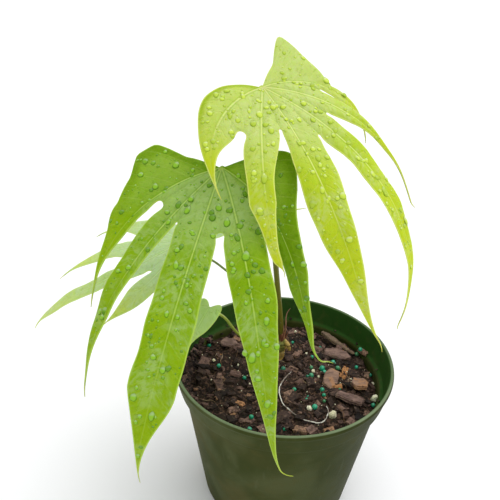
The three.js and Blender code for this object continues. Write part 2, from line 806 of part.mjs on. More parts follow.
function cataphyll() {
  const height = SHEATH.top - SHEATH.bottom;
  const band = new THREE.BoxGeometry(20, 20, height).translate(0, 27, SHEATH.bottom + height / 2);
  const back = new THREE.BoxGeometry(2.4, 8, 2 * height).translate(-1.4, 31.4, SHEATH.top);
  const outer = solid(petiole(LEAF_A, GAP + SHEATH.wall)).intersect(solid(band));
  const spike = solid(sweep(SPIKE.map((p) => vec(...p)), (t) => 0.75 - 0.4 * t, 12, 6));
  const inner = solid(petiole(LEAF_A, GAP));
  return largestBody(wasm.Manifold.union([outer, spike]).subtract(inner).subtract(solid(back)));
}

// Assembly

const sockets = wasm.Manifold.union(LEAVES.map((leaf) => solid(petiole(leaf, GAP))));
const crownPocket = wasm.Manifold.union([crown(GAP), sockets]);

add('pot', pot(), MATERIAL.pot);
add('potting_mix', pottingMix(crownPocket), MATERIAL.mix);
CHIPS.forEach((spec) => add(spec.name, chip(spec, 0), spec.material));
add('loose_root', looseRoot(0), MATERIAL.root);
add('shoot_base', geometryOf(largestBody(crown(0).subtract(sockets))), MATERIAL.crown);
add('cataphyll', geometryOf(cataphyll()), MATERIAL.sheath);
add('petiole_a', petiole(LEAF_A), MATERIAL.petiole);
add('petiole_b', petiole(LEAF_B), MATERIAL.petiole);
add('petiole_c', petiole(LEAF_C), MATERIAL.petiole);
add('petiole_d', petiole(LEAF_D), MATERIAL.petioleGreen);
add('leaf_a', blade(LEAF_A), MATERIAL.newBlade);
add('leaf_b', blade(LEAF_B), MATERIAL.blade);
add('leaf_c', blade(LEAF_C), MATERIAL.paleBlade);
add('leaf_d', blade(LEAF_D), MATERIAL.smallBlade);

export default object;
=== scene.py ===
"""Looks of the potted fingers anthurium: blades, stalks, shoot, potting mix and nursery pot."""

import math
import random

import bpy
import numpy as np
from bpy.props import FloatProperty, FloatVectorProperty, IntProperty, PointerProperty
from mathutils import Matrix, Vector, noise


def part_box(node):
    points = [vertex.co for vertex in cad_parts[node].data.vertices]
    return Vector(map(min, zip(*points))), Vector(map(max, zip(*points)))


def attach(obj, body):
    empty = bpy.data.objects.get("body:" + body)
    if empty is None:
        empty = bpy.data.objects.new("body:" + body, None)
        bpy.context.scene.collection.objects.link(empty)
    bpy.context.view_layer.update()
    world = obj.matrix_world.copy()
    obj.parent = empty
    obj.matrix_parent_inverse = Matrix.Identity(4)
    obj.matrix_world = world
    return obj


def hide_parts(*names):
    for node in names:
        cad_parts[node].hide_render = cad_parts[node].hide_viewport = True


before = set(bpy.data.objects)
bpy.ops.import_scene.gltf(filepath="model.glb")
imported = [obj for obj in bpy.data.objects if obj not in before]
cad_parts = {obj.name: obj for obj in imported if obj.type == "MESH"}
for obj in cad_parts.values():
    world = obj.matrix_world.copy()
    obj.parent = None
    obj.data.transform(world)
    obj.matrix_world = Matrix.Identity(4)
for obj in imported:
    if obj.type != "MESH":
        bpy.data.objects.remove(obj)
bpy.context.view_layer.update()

bl_info = {
    "name": "Potted Fingers Anthurium",
    "version": (1, 0, 0),
    "blender": (4, 5, 0),
    "location": "View3D > Sidebar > Anthurium",
    "description": "Builds the blades, stalks, shoot, potting mix and pot of a potted fingers anthurium",
    "category": "Add Mesh",
}

MM = 0.001
POT_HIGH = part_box("pot")[1]


# Small tools


def rgb(code):
    """A linear colour from a six digit hex code."""
    parts = [int(code[i : i + 2], 16) / 255 for i in (0, 2, 4)]
    return tuple(p / 12.92 if p <= 0.04045 else ((p + 0.055) / 1.055) ** 2.4 for p in parts)


def deselect():
    bpy.ops.object.select_all(action="DESELECT")


def choose(piece):
    """Makes the piece the one selected and active object."""
    deselect()
    piece.select_set(True)
    bpy.context.view_layer.objects.active = piece
    return piece


def new_piece(name, points, faces):
    """A mesh object from points in millimetres."""
    mesh = bpy.data.meshes.new(name)
    mesh.from_pydata((np.asarray(points) * MM).tolist(), [], faces)
    mesh.update()
    piece = bpy.data.objects.new(name, mesh)
    bpy.context.scene.collection.objects.link(piece)
    return choose(piece)


def points_of(piece):
    """The piece's vertices in millimetres."""
    points = np.empty(len(piece.data.vertices) * 3)
    piece.data.vertices.foreach_get("co", points)
    return points.reshape(-1, 3) / MM


def set_points(piece, points):
    piece.data.vertices.foreach_set("co", (np.asarray(points) * MM).ravel())
    piece.data.update()


def paint(piece, name, values):
    """Keeps one number for each vertex under that name."""
    layer = piece.data.attributes.new(name, "FLOAT", "POINT")
    layer.data.foreach_set("value", np.asarray(values, np.float32))


def outwards(piece):
    """Merges doubles and turns every face outwards."""
    choose(piece)
    bpy.ops.object.mode_set(mode="EDIT")
    bpy.ops.mesh.select_all(action="SELECT")
    bpy.ops.mesh.remove_doubles(threshold=1e-7)
    bpy.ops.mesh.normals_make_consistent(inside=False)
    bpy.ops.object.mode_set(mode="OBJECT")


def smooth(piece, degrees):
    """Shades the piece smooth, but for edges sharper than that."""
    choose(piece)
    bpy.ops.object.shade_smooth_by_angle(angle=math.radians(degrees))


def modify(piece, kind, **settings):
    """Adds a modifier with its settings and applies it."""
    choose(piece)
    modifier = piece.modifiers.new(kind.title(), kind)
    for key, value in settings.items():
        setattr(modifier, key, value)
    bpy.ops.object.modifier_apply(modifier=modifier.name)


def fit(piece, finish, nodes=()):
    """Gives the piece its finish, hides the solids it stands for, and lets it ride on the part."""
    piece.data.materials.clear()
    piece.data.materials.append(finish)
    if nodes:
        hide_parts(*nodes)
    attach(piece, "root")
    return piece


def unit(v):
    """Each vector at length 1."""
    return v / np.linalg.norm(v, axis=-1, keepdims=True)


def rough(points, scale, seed, octaves=3):
    """Smooth noise from about -1 to 1 at each point; scale is the size of a lump in millimetres."""
    shift = Vector((seed * 7.3, seed * 3.1, seed * 5.7))
    return np.array([noise.fractal(Vector(p) / scale + shift, 0.9, 2.1, octaves) for p in points])


def ease_out(x):
    """From 1 at 0 down to 0 at 1, level at both ends."""
    return 0.5 * (1 + np.cos(np.pi * np.clip(x, 0, 1)))


# Where the photo was taken from, and what a place in it points at


EYE = Vector((-0.02615, -0.35698, 0.39950))
EYE_TILT = 29.35  # degrees below level
EYE_ROLL = 2.3
EYE_TURN = (
    Matrix.Rotation(math.radians(90 - EYE_TILT), 3, "X") @ Matrix.Rotation(math.radians(EYE_ROLL), 3, "Z")
)
SENSOR = 36.0  # mm across
PHOTO = 500  # pixels along each side
CLOSE_UP = (190, 290)  # upper left corner, in the photo, of an enlarged view of the pot
CLOSE_UP_SCALE = 6.533
PIXEL_ON_MIX = 0.7  # mm
MIX_TOP = 95.5  # mm above the ground
MIX_REACH = 65.5  # mm from the pot's middle, close to the wall


def photo_ray(px, py, lens):
    """Direction from the eye through a place in the photo."""
    across, down = ((p / PHOTO - 0.5) * SENSOR for p in (px, py))
    return (EYE_TURN @ Vector((across, -down, -lens))).normalized()


def on_mix(place, lens):
    """Where a place in the close-up lies on the mix, in millimetres across and back."""
    px, py = (corner + p / CLOSE_UP_SCALE for corner, p in zip(CLOSE_UP, place))
    ray = photo_ray(px, py, lens)
    spot = (EYE + ray * ((MIX_TOP * MM - EYE.z) / ray.z)) / MM
    inside = min(1, MIX_REACH / math.hypot(spot.x, spot.y))
    return spot.x * inside, spot.y * inside


# Shader maths


class Wire:
    """A shader socket that Python's arithmetic works on: each step adds one Math node."""

    def __init__(self, tree, socket):
        self.tree = tree
        self.socket = socket

    def maths(self, operation, *values):
        step = self.tree.nodes.new("ShaderNodeMath")
        step.operation = operation
        for place, value in zip(step.inputs, values):
            if isinstance(value, Wire):
                self.tree.links.new(value.socket, place)
            else:
                place.default_value = value
        return Wire(self.tree, step.outputs[0])

    def __add__(self, other):
        return self.maths("ADD", self, other)

    def __sub__(self, other):
        return self.maths("SUBTRACT", self, other)

    def __rsub__(self, other):
        return self.maths("SUBTRACT", other, self)

    def __mul__(self, other):
        return self.maths("MULTIPLY", self, other)

    def __truediv__(self, other):
        return self.maths("DIVIDE", self, other)

    def __rtruediv__(self, other):
        return self.maths("DIVIDE", other, self)

    def __abs__(self):
        return self.maths("ABSOLUTE", self)

    __radd__ = __add__
    __rmul__ = __mul__


class Finish:
    """A procedural material round one Principled shader."""

    def __init__(self, name, **constants):
        self.material = bpy.data.materials.new(name)
        self.material.use_nodes = True
        self.tree = self.material.node_tree
        self.shader = self.tree.nodes["Principled BSDF"]
        for key, value in constants.items():
            self.shader.inputs[key.replace("_", " ")].default_value = value

    def node(self, kind, settings=None, inputs=None, output=0):
        """Adds a node, sets it up, then gives its inputs values or links. A ramp's stops are a setting."""
        made = self.tree.nodes.new("ShaderNode" + kind)
        for key, value in (settings or {}).items():
            if key == "stops":
                self.set_stops(made.color_ramp, value)
            else:
                setattr(made, key, value)
        for key, value in (inputs or {}).items():
            if isinstance(value, Wire):
                self.tree.links.new(value.socket, made.inputs[key])
            else:
                made.inputs[key].default_value = value
        return Wire(self.tree, made.outputs[output])

    @staticmethod
    def set_stops(ramp, stops):
        ramp.elements.remove(ramp.elements[1])
        ramp.elements[0].position = stops[0][0]
        ramp.elements[0].color = (*stops[0][1], 1)
        for place, colour in stops[1:]:
            ramp.elements.new(place).color = (*colour, 1)

    def place(self):
        return self.node("TexCoord", output="Object")

    def attribute(self, name):
        return self.node("Attribute", {"attribute_name": name}, output="Fac")

    def noise(self, scale, detail=3.0, distortion=0.0, at=None):
        inputs = {"Vector": at or self.place(), "Scale": scale, "Detail": detail, "Distortion": distortion}
        return self.node("TexNoise", None, inputs)

    def step(self, value, low, high):
        """0 at low, 1 at high and a smooth slope between; low may be the larger of the two."""
        return self.node("MapRange", {"interpolation_type": "SMOOTHSTEP"}, {0: value, 1: low, 2: high})

    def blend(self, factor, a, b):
        """A colour between a and b."""
        a, b = ((*c, 1) if isinstance(c, tuple) else c for c in (a, b))
        return self.node("Mix", {"data_type": "RGBA"}, {0: factor, 6: a, 7: b}, output=2)

    def ramp(self, value, *stops):
        return self.node("ValToRGB", {"stops": stops}, {"Fac": value})

    def stretched(self, scale):
        """Places scaled by a number for each axis, for streaks."""
        return self.node("Mapping", None, {"Vector": self.place(), "Scale": scale})

    def bump(self, height, distance, strength):
        inputs = {"Height": height, "Distance": distance, "Strength": strength}
        return self.node("Bump", None, inputs)

    def feed(self, **sockets):
        for key, wire in sockets.items():
            self.tree.links.new(wire.socket, self.shader.inputs[key.replace("_", " ")])
        return self.material


# Leaves


def finger(
    fan, length, sway, droop, twist, hook, width, skew, belly, full, lobe=None, sheen=(1, 1), curl=0, strap=0
):
    """A finger is followed from the leaf's junction as a frame that goes forward, turns sideways in the
    blade (sway), bends down (droop), rolls (twist), hooks near the tip and may curl at its very end. Lengths
    are in mm and turns in degrees. Skew is the share of the width on one side of the rib, belly the share of
    the length from which it narrows, full how late it does, and strap the share of the width that runs on
    almost to the tip. Sheen is how strongly a painted sheen pales the skin on the two sides of the rib."""
    return dict(
        fan=fan, length=length, sway=sway, droop=droop, twist=twist, hook=hook, width=width, skew=skew,
        belly=belly, full=full, lobe=lobe, sheen=sheen, curl=curl, strap=strap,
    )


def lobe(extra=0, reach=1, rise=1, lean=0, knots=()):
    """How an outer finger swells on its free side, or the knots its margin is led through there. A knot is
    so many millimetres along the rib, out from it and back towards the junction."""
    return dict(extra=extra, reach=reach, rise=rise, lean=lean, knots=knots)


LEAVES = {  # a cleft is its reach from the junction, its place between two ribs and its bottom's radius
    "leaf_a": dict(
        junction=(-23, -4.5, 303), heading=-65.5, pitch=-37, roll=5, quilt=1.1,
        fingers=[
            finger(-81, 78, 90, 46, 11, -3, 29, 0.47, 0.32, 0.71, lobe(-2, 48, 24, -6), sheen=(0.65, 0.95)),
            finger(-21, 109, 16.5, 52, 29.5, 43.5, 13.7, 0.37, 0.63, 0.5, strap=0.3, curl=-45),
            finger(17.6, 162, -27.5, 41, 54, 49.5, 19.8, 0.41, 0.47, 0.98, curl=-36),
            finger(49, 175, -49.5, 75, -21, 0.5, 13.5, 0.51, 0.49, 0.88, curl=58),
            finger(77, 119, -70, 36.5, 12, 23, 13, 0.62, 0.32, 0.51, curl=36),
            finger(102.5, 84, -78.5, 58, 10, 2, 11.5, 0.43, 0.31, 1.05, lobe(knots=[
                (10, 13.5, -2.5), (19, 32, 2), (31, 17, 5), (45, 3, 4),
            ]), sheen=(1, 0.88)),
        ],
        clefts=[(33, 0.56, 3), (28, 0.63, 1.1), (41, 0.64, 1), (38, 0.54, 1), (34, 0.73, 1.6)],
    ),
    "leaf_b": dict(
        junction=(-43.5, -20, 261.5), heading=-100, pitch=-38.5, roll=3.5, quilt=1.3,
        fingers=[
            finger(-70.5, 114, 66, 31, -2, -1.5, 36.5, 0.29, 0.29, 0.6, lobe(knots=[
                (16, 14, -1), (29, 30.5, 2), (38, 31.5, 1.5), (48, 21, 3.5), (60, 13, 2.5),
            ]), sheen=(0.25, 0.85)),
            finger(-37.3, 154, 18.5, 48.5, 18, -9.5, 12.4, 0.29, 0.47, 1.08, curl=10, sheen=(0.9, 1)),
            finger(-6.4, 182.5, -1, 48, -14.5, 32.5, 25.7, 0.48, 0.7, 0.69, curl=5),
            finger(26.7, 186.5, -23.5, 67, 14, 37, 23.3, 0.55, 0.38, 0.91, curl=70),
            finger(65, 169, -110, 83.5, 88, 18.5, 30.8, 0.44, 0.22, 0.53, lobe(25.5, 54.5, 26, -12),
                   curl=25, sheen=(0.6, 0.2)),
        ],
        clefts=[(38.5, 0.34, 3), (40, 0.23, 0.7), (40, 0.51, 2.4), (37, 0.69, 1)],
    ),
    "leaf_c": dict(
        junction=(-69.5, 15, 195.5), heading=197, pitch=-12, roll=-5, quilt=0.8,
        fingers=[
            finger(-173, 86, -10.5, 9, 0, 1, 16, 0.5, 0.4, 1.3, lobe(4, 40, 18, 0)),
            finger(-56.5, 85, 21, 34, 1, 0, 12, 0.5, 0.4, 1.3),
            finger(-20, 92, 10.5, 33, -1, -1, 13.5, 0.49, 0.44, 1.2),
            finger(26, 128, -59, 55, 6, 2, 12.5, 0.44, 0.43, 1.9),
            finger(58.5, 80, -47, 31, -4, -3, 17, 0.54, 0.47, 1.5),
            finger(80, 51, -14, 19, -1, 0, 15, 0.5, 0.4, 1.3, lobe(5, 40, 18, 0)),
        ],
        clefts=[(28, 0.5, 1.5), (28, 0.5, 1.5), (27, 0.75, 1.5), (33, 0.58, 1.8), (29, 0.49, 1.5)],
    ),
    "leaf_d": dict(
        junction=(-52, 5, 150), heading=-126, pitch=-38.5, roll=6.5, quilt=0.9,
        fingers=[finger(0, 30, 0, 18, 0, 0, 25, 0.5, 0.14, 1.08, lobe(1, 18, 7, 61))],
        clefts=[],
    ),
}

RIB_STEPS = 112
WEB_ROWS = 26  # rows from the junction to a cleft
LONE_WEB = 0.3  # share of the rib that these rows take on a leaf without clefts
ROW = 1.5  # mm from row to row past the clefts, on average
ROW_GROWTH = 1.25  # rows stand closer near a cleft than near a tip
FREE_SHARE = 0.75  # about how much of a finger lies past its clefts
COLUMNS = np.array([  # shares of the way from the rib to the margin
    0, 0.018, 0.042, 0.08, 0.14, 0.22, 0.33, 0.45, 0.57, 0.69, 0.8, 0.88, 0.94, 0.975, 1,
])
WEB_SHARE = 1 / 3  # of the rows, for how the quilting swells
HOOK_FROM = 0.8  # share of a finger's length past which it hooks
HOOK_GROWTH = 24.9  # how fast the hook grows from there, to half its degrees in all
CURL_SHARE = 0.045  # of a finger's length, at its tip
WANDER = 0.035  # share of the width by which a margin wanders
WANDER_PITCH = 5.2  # mm along the rib for each radian of that wave
STRAP_END = 0.9  # share of a finger's length where a strap starts to narrow
STRAP_RUN_OUT = 0.07  # share of the length over which it narrows away
TIP_HALF_WIDTH = 0.2  # mm, of the long drip tip
TIP_SHARE = 0.06  # of a finger's length, over which its drip tip narrows to a point
HOLD_SHARE = 0.3  # of a finger's length, over which its margin leaves the line it has at the cleft
SLOT_ROWS = 30  # rows over which a cleft's round bottom runs out
SLOT_RUN_OUT = 6  # times the bottom's radius
SLOT_AIM_ROW = 6  # past the cleft, the row that shows which way the two margins part
SINUS_ROUNDS = 2  # smoothing of a cleft's bottom
SINUS_ROWS = 7
KNOT_ROUNDING = 1.4  # mm to each side
KNOT_RUN_OUT = 12  # mm from the last knot to where the finger has its own width
MERGE_GRID = 0.002  # mm


def turned(a, b, degrees):
    """The pair a, b after a turn in the plane that they span."""
    c, s = math.cos(math.radians(degrees)), math.sin(math.radians(degrees))
    return a * c + b * s, b * c - a * s


def blade_frame(leaf):
    """Directions along the blade, across it and up from it, at its junction."""
    h, p = math.radians(leaf["heading"]), math.radians(leaf["pitch"])
    along = np.array([math.cos(p) * math.cos(h), math.cos(p) * math.sin(h), math.sin(p)])
    across = np.array([-math.sin(h), math.cos(h), 0])
    up = np.cross(along, across)
    across, up = turned(across, up, leaf["roll"])
    return along, across, up


def rib_curve(leaf, part):
    """Points along a finger's rib, with the sideways and the forward direction at each."""
    along, across, up = blade_frame(leaf)
    along, across = turned(along, across, part["fan"])
    point = np.array(leaf["junction"], float)
    points, sides, aheads = [point], [across], [along]
    for i in range(RIB_STEPS):
        t = (i + 0.5) / RIB_STEPS
        hook = part["hook"] * HOOK_GROWTH * max(0, t - HOOK_FROM)
        curl = part["curl"] / CURL_SHARE * (t > 1 - CURL_SHARE)
        along, across = turned(along, across, (part["sway"] + hook + curl) / RIB_STEPS)
        along, up = turned(along, up, -part["droop"] * 2 * t / RIB_STEPS)
        across, up = turned(across, up, part["twist"] / RIB_STEPS)
        point = point + along * part["length"] / RIB_STEPS
        points.append(point)
        sides.append(across)
        aheads.append(along)
    return np.array(points), np.array(sides), np.array(aheads)


def sample(row, t):
    """Vectors read off a curve's list at shares t of its length."""
    stations = np.linspace(0, 1, len(row))
    return np.stack([np.interp(t, stations, row[:, i]) for i in range(3)], -1)


def half_width(part, side, t):
    """A finger's width on one side of its rib at shares t of its length."""
    share = part["skew"] if side > 0 else 1 - part["skew"]
    u = np.maximum(0, (t - part["belly"]) / (1 - part["belly"]))
    wander = WANDER * np.sin(t * part["length"] / WANDER_PITCH + part["fan"]) * np.sin(t * 9 + side)
    strap = part["strap"] * ease_out((t - STRAP_END) / STRAP_RUN_OUT)
    taper = (1 - part["strap"]) * ease_out(u ** part["full"]) + strap
    return part["width"] * share * taper * (1 + wander)


def thin_tip(width, t):
    """The half width, but at least that of the long drip tip, which narrows to a point."""
    return np.maximum(width, TIP_HALF_WIDTH * np.sqrt(np.clip((1 - t) / TIP_SHARE, 0.01, 1)))


def web_line(leaf, curves, cleft):
    """The line that two fingers share, from the junction to the cleft between them."""
    reach, share, _ = leaf["clefts"][cleft]
    distance = reach * np.linspace(0, 1, WEB_ROWS + 1)
    ends = [
        sample(curves[k][0], distance / leaf["fingers"][k]["length"]) for k in (cleft, cleft + 1)
    ]
    return ends[0] + (ends[1] - ends[0]) * share


def free_margin(leaf, curves, k, side, cleft, rows):
    """One side of a finger past its cleft."""
    part = leaf["fingers"][k]
    points, sides, _ = curves[k]
    start = leaf["clefts"][cleft][0] / part["length"]
    t = start + (1 - start) * (np.arange(1, rows + 1) / rows) ** ROW_GROWTH
    root = web_line(leaf, curves, cleft)[-1] - sample(points, start)
    root_width = np.linalg.norm(root)
    hold = ease_out((t - start) / HOLD_SHARE)
    direction = sample(sides, t) * (side * (1 - hold))[:, None] + root / root_width * hold[:, None]
    width = half_width(part, side, t) + (root_width - half_width(part, side, start)) * hold
    return sample(points, t) + unit(direction) * thin_tip(width, t)[:, None]


def led_through(distance, along, values):
    """Values between the knots, with the corners rounded off."""
    shifts = np.linspace(-KNOT_ROUNDING, KNOT_ROUNDING, 7)
    return np.mean([np.interp(distance + shift, along, values) for shift in shifts], axis=0)


def lobe_margin(part, curve, side, t):
    """The free side of an outer finger."""
    points, sides, aheads = curve
    shape = part["lobe"]
    distance = t * part["length"]
    width = half_width(part, side, t)
    if shape["knots"]:
        first = np.array(shape["knots"][0])
        along, beside, behind = np.array([-first, first * 0, *shape["knots"]]).T
        hold = ease_out((distance - along[-1]) / KNOT_RUN_OUT)
        width = thin_tip(hold * led_through(distance, along, beside) + (1 - hold) * width, t)
        back = hold * led_through(distance, along, behind)
    else:
        swell = ease_out(distance / shape["reach"])
        growth = np.sin(np.pi / 2 * np.minimum(1, distance / shape["rise"]))
        width = thin_tip((width + shape["extra"] * swell) * growth, t)
        angle = np.radians(shape["lean"]) * swell
        width, back = width * np.cos(angle), width * np.sin(angle)
    out = sample(sides, t) * (side * width)[:, None]
    return sample(points, t) + out - sample(aheads, t) * back[:, None]


def rib_stations(leaf, k, rows):
    """Shares of a rib's length at each row: even up to the clefts, then even to the tip."""
    near = [leaf["clefts"][c][0] for c in (k - 1, k) if 0 <= c < len(leaf["clefts"])]
    mean = sum(near) / len(near) / leaf["fingers"][k]["length"] if near else LONE_WEB
    web = mean * np.arange(WEB_ROWS + 1) / WEB_ROWS
    return np.concatenate([web, mean + (1 - mean) * (np.arange(1, rows + 1) / rows) ** ROW_GROWTH])


def open_cleft(left, right, radius):
    """Parts two margins past their cleft, so that its bottom is round."""
    rows = WEB_ROWS + np.arange(1, min(SLOT_ROWS, len(left) - WEB_ROWS, len(right) - WEB_ROWS))
    apart = left[rows] - right[rows]
    way = unit(apart[SLOT_AIM_ROW])
    half = apart @ way / 2
    depth = np.linalg.norm((left[rows] + right[rows]) / 2 - left[WEB_ROWS], axis=1) / radius
    bottom = radius * np.sqrt(1 - np.maximum(0, 1 - depth) ** 2) * ease_out((depth - 1) / SLOT_RUN_OUT)
    opened = (np.maximum(half, 0) ** 4 + bottom ** 4) ** 0.25
    shift = ((opened - half) * (half < 3 * radius))[:, None] * way
    left[rows] += shift
    right[rows] -= shift


def smooth_bottom(left, right):
    """Smooths two margins round the bottom of their cleft, and draws the line that they share along."""
    end = WEB_ROWS + SINUS_ROWS
    chain = np.concatenate([left[end:WEB_ROWS:-1], right[WEB_ROWS:end]])
    for _ in range(SINUS_ROUNDS):
        chain[1:-1] += 0.5 * (0.5 * (chain[:-2] + chain[2:]) - chain[1:-1])
    pull = chain[SINUS_ROWS] - left[WEB_ROWS]
    web = pull * (np.linspace(0, 1, WEB_ROWS + 1) ** 3)[:, None]
    for line in (left, right):
        line[: WEB_ROWS + 1] += web
    left[end:WEB_ROWS:-1] = chain[:SINUS_ROWS]
    right[WEB_ROWS + 1 : end] = chain[SINUS_ROWS + 1 :]


def margins(leaf, curves, rows):
    """The margin of each side of each finger, with the bottom of each cleft rounded."""
    found = {}
    for k, part in enumerate(leaf["fingers"]):
        for side, cleft in ((-1, k - 1), (1, k)):
            if 0 <= cleft < len(leaf["clefts"]):
                free = free_margin(leaf, curves, k, side, cleft, rows[k])
                found[k, side] = np.concatenate([web_line(leaf, curves, cleft), free])
            else:
                found[k, side] = lobe_margin(part, curves[k], side, rib_stations(leaf, k, rows[k]))
    for cleft, (_, _, radius) in enumerate(leaf["clefts"]):
        left, right = found[cleft, 1], found[cleft + 1, -1]
        open_cleft(left, right, radius)
        smooth_bottom(left, right)
    return found


def quilting(rows):
    """How far along its swelling each row of a finger is, from 0 at the junction to 1 at the tip."""
    row = np.arange(WEB_ROWS + rows + 1)
    past = (np.maximum(0, row - WEB_ROWS) / rows) ** ROW_GROWTH
    return np.where(past <= 0, WEB_SHARE * row / WEB_ROWS, WEB_SHARE + (1 - WEB_SHARE) * past)


def half_finger(leaf, k, side, t, rib, margin, swell):
    """One side of a finger: points in rows from the rib to the margin, and the facts of each. These are its
    lift between the ribs, its distance from the rib and from the margin, how far along the rib it is, as a
    share and in mm, and its sheen."""
    part = leaf["fingers"][k]
    cleft = k if side > 0 else k - 1
    shared = 0 <= cleft < len(leaf["clefts"])
    to_cleft = np.arange(len(t))[:, None] / WEB_ROWS
    width = np.linalg.norm(margin - rib, axis=1)[:, None]
    grid = rib[:, None] + (margin - rib)[:, None] * COLUMNS[None, :, None]
    webbed = ease_out(to_cleft) * shared
    arch = webbed * np.sin(np.pi / 2 * COLUMNS) + (1 - webbed) * np.sin(np.pi * COLUMNS)
    lift = leaf["quilt"] * arch * np.sin(np.pi * np.sqrt(swell))[:, None]
    rim = (1 - COLUMNS) * width
    if shared:
        rim = np.hypot(rim, np.maximum(0, 1 - to_cleft) * leaf["clefts"][cleft][0])
    reach = np.repeat(t[:, None], len(COLUMNS), 1)
    sheen = np.full(rim.shape, float(part["sheen"][side > 0]))
    known = [lift, COLUMNS * width, rim, reach, reach * part["length"], sheen]
    return grid.reshape(-1, 3), np.stack(known, -1).reshape(-1, len(known))


def blade_sheet(leaf):
    """The blade's middle sheet: its points, their facts and the quads."""
    curves = [rib_curve(leaf, part) for part in leaf["fingers"]]
    rows = [round(part["length"] * FREE_SHARE / ROW) for part in leaf["fingers"]]
    edges = margins(leaf, curves, rows)
    columns = len(COLUMNS)
    halves, quads = [], []
    base = 0
    for k, count in enumerate(rows):
        t = rib_stations(leaf, k, count)
        rib = sample(curves[k][0], t)
        for side in (-1, 1):
            halves.append(half_finger(leaf, k, side, t, rib, edges[k, side], quilting(count)))
            a = (np.arange(len(t) - 1)[:, None] * columns + np.arange(columns - 1)).ravel() + base
            quad = np.stack([a, a + columns, a + columns + 1, a + 1], -1)
            quads.append(quad if side > 0 else quad[:, ::-1])
            base += len(t) * columns
    points, facts = (np.concatenate(parts) for parts in zip(*halves))
    return points, facts, np.concatenate(quads)


def merged(points, facts, quads):
    """One point where several meet, and each face without its doubled corners."""
    keys = np.round(points / MERGE_GRID).astype(np.int64)
    _, first, index = np.unique(keys, axis=0, return_index=True, return_inverse=True)
    corners = index.ravel()[quads]
    faces = [list(dict.fromkeys(face)) for face in corners.tolist()]
    return points[first], facts[first], [face for face in faces if len(face) > 2]


def sheet_normals(points, faces):
    """The direction out of the sheet at each point, from its triangles and quads."""
    normals = np.zeros_like(points)
    for size, pairs in ((3, ((0, 1), (0, 2))), (4, ((0, 2), (1, 3)))):
        corners = np.array([face for face in faces if len(face) == size])
        if len(corners):
            cross = np.cross(*(points[corners[:, b]] - points[corners[:, a]] for a, b in pairs))
            for i in range(size):
                np.add.at(normals, corners[:, i], cross)
    return unit(normals)


HALF_THICK = 0.36  # mm, of a blade
QUILT = 0.7  # share of the leaf's swelling between its ribs
VEIN_LEAN = 0.85  # how far a side vein runs forward for each millimetre it runs out
RIB_HEIGHT = 0.26  # mm
GROOVE_DEPTH = 0.14
GROOVE_AWAY = 1.3  # from the rib
VEIN_DEPTH = 0.16
LONG_WAVE = 0.75
SHORT_WAVE = 0.3
MARGIN_WAVE = 0.45
KEEL_DEPTH = 0.9


def blade_relief(points, facts, spacing, seed):
    """Height over the middle sheet: swell between ribs, ribs with grooves beside them, side veins, waves."""
    lift, away, rim, reach, forward, _ = facts.T
    fade = 1 - reach
    ridge = RIB_HEIGHT * (0.25 + 0.75 * fade) * np.exp(-((away / 0.4) ** 2))
    groove = -GROOVE_DEPTH * (0.3 + 0.7 * fade) * np.exp(-(((away - GROOVE_AWAY) / 0.8) ** 2))
    place = (forward - VEIN_LEAN * away) / spacing
    nearest = np.abs(place - np.round(place)) * spacing
    inside = np.clip((away - 1) / 2, 0, 1) * np.clip(rim / 4, 0, 1) * np.clip(fade * 3, 0, 1)
    vein = -VEIN_DEPTH * np.exp(-((nearest / 0.9) ** 2)) * inside
    swell = np.clip(away / 7, 0, 1) * np.clip(fade * 2, 0.15, 1)
    waves = (LONG_WAVE * rough(points, 19, seed, 2) + SHORT_WAVE * rough(points, 7, seed + 1, 2)) * swell
    edge = MARGIN_WAVE * np.sin(forward / 5.5 + seed) * np.exp(-rim / 4) * np.clip(fade * 3, 0, 1)
    return QUILT * lift + ridge + groove + vein + waves + edge


def closed_blade(points, normals, faces, facts):
    """Top sheet, underside with keels below the ribs, and a rounded margin between them."""
    _, away, rim, reach, _, _ = facts.T
    keel = (0.25 + KEEL_DEPTH * (1 - reach)) * np.exp(-((away / 0.75) ** 2))
    thin = HALF_THICK * (0.55 + 0.45 * np.clip(rim / 2, 0, 1)) * np.clip((1 - reach) / 0.05, 0.4, 1)
    top = points + normals * thin[:, None]
    under = points - normals * (thin + keel)[:, None]
    count = len(points)
    directed = {(a, b) for face in faces for a, b in zip(face, face[1:] + face[:1])}
    border = sorted((a, b) for a, b in directed if (b, a) not in directed)
    outward = np.zeros_like(points)
    for a, b in border:
        out = np.cross(points[b] - points[a], normals[a])
        outward[a] += out
        outward[b] += out
    ring = sorted({a for a, _ in border})
    place = {a: 2 * count + i for i, a in enumerate(ring)}
    edge = points[ring] + unit(outward[ring]) * thin[ring][:, None] * 0.8
    skin = list(faces)
    skin += [[corner + count for corner in face[::-1]] for face in faces]
    for a, b in border:
        skin.append([b, a, place[a], place[b]])
        skin.append([place[b], place[a], a + count, b + count])
    sides = np.concatenate([np.zeros(count), np.ones(count), np.full(len(ring), 0.5)])
    numbers = np.concatenate([facts, facts, facts[ring]])
    return np.concatenate([top, under, edge]), skin, numbers, sides


def blade(name, spacing, seed):
    leaf = LEAVES[name]
    points, facts, faces = merged(*blade_sheet(leaf))
    normals = sheet_normals(points, faces)
    points = points + normals * blade_relief(points, facts, spacing, seed)[:, None]
    normals = sheet_normals(points, faces)
    skin_points, skin, numbers, sides = closed_blade(points, normals, faces, facts)
    piece = new_piece(name.replace("leaf", "blade"), skin_points, skin)
    for key, column in (("away", 1), ("rim", 2), ("reach", 3), ("forward", 4), ("sheen", 5)):
        paint(piece, key, numbers[:, column])
    paint(piece, "under", sides)
    smooth(piece, 60)
    return piece


# Copies of small forms


def taken(form):
    """The object's points and faces; the object itself is removed."""
    points = points_of(form) * MM
    faces = [list(face.vertices) for face in form.data.polygons]
    bpy.data.objects.remove(form)
    return points, faces


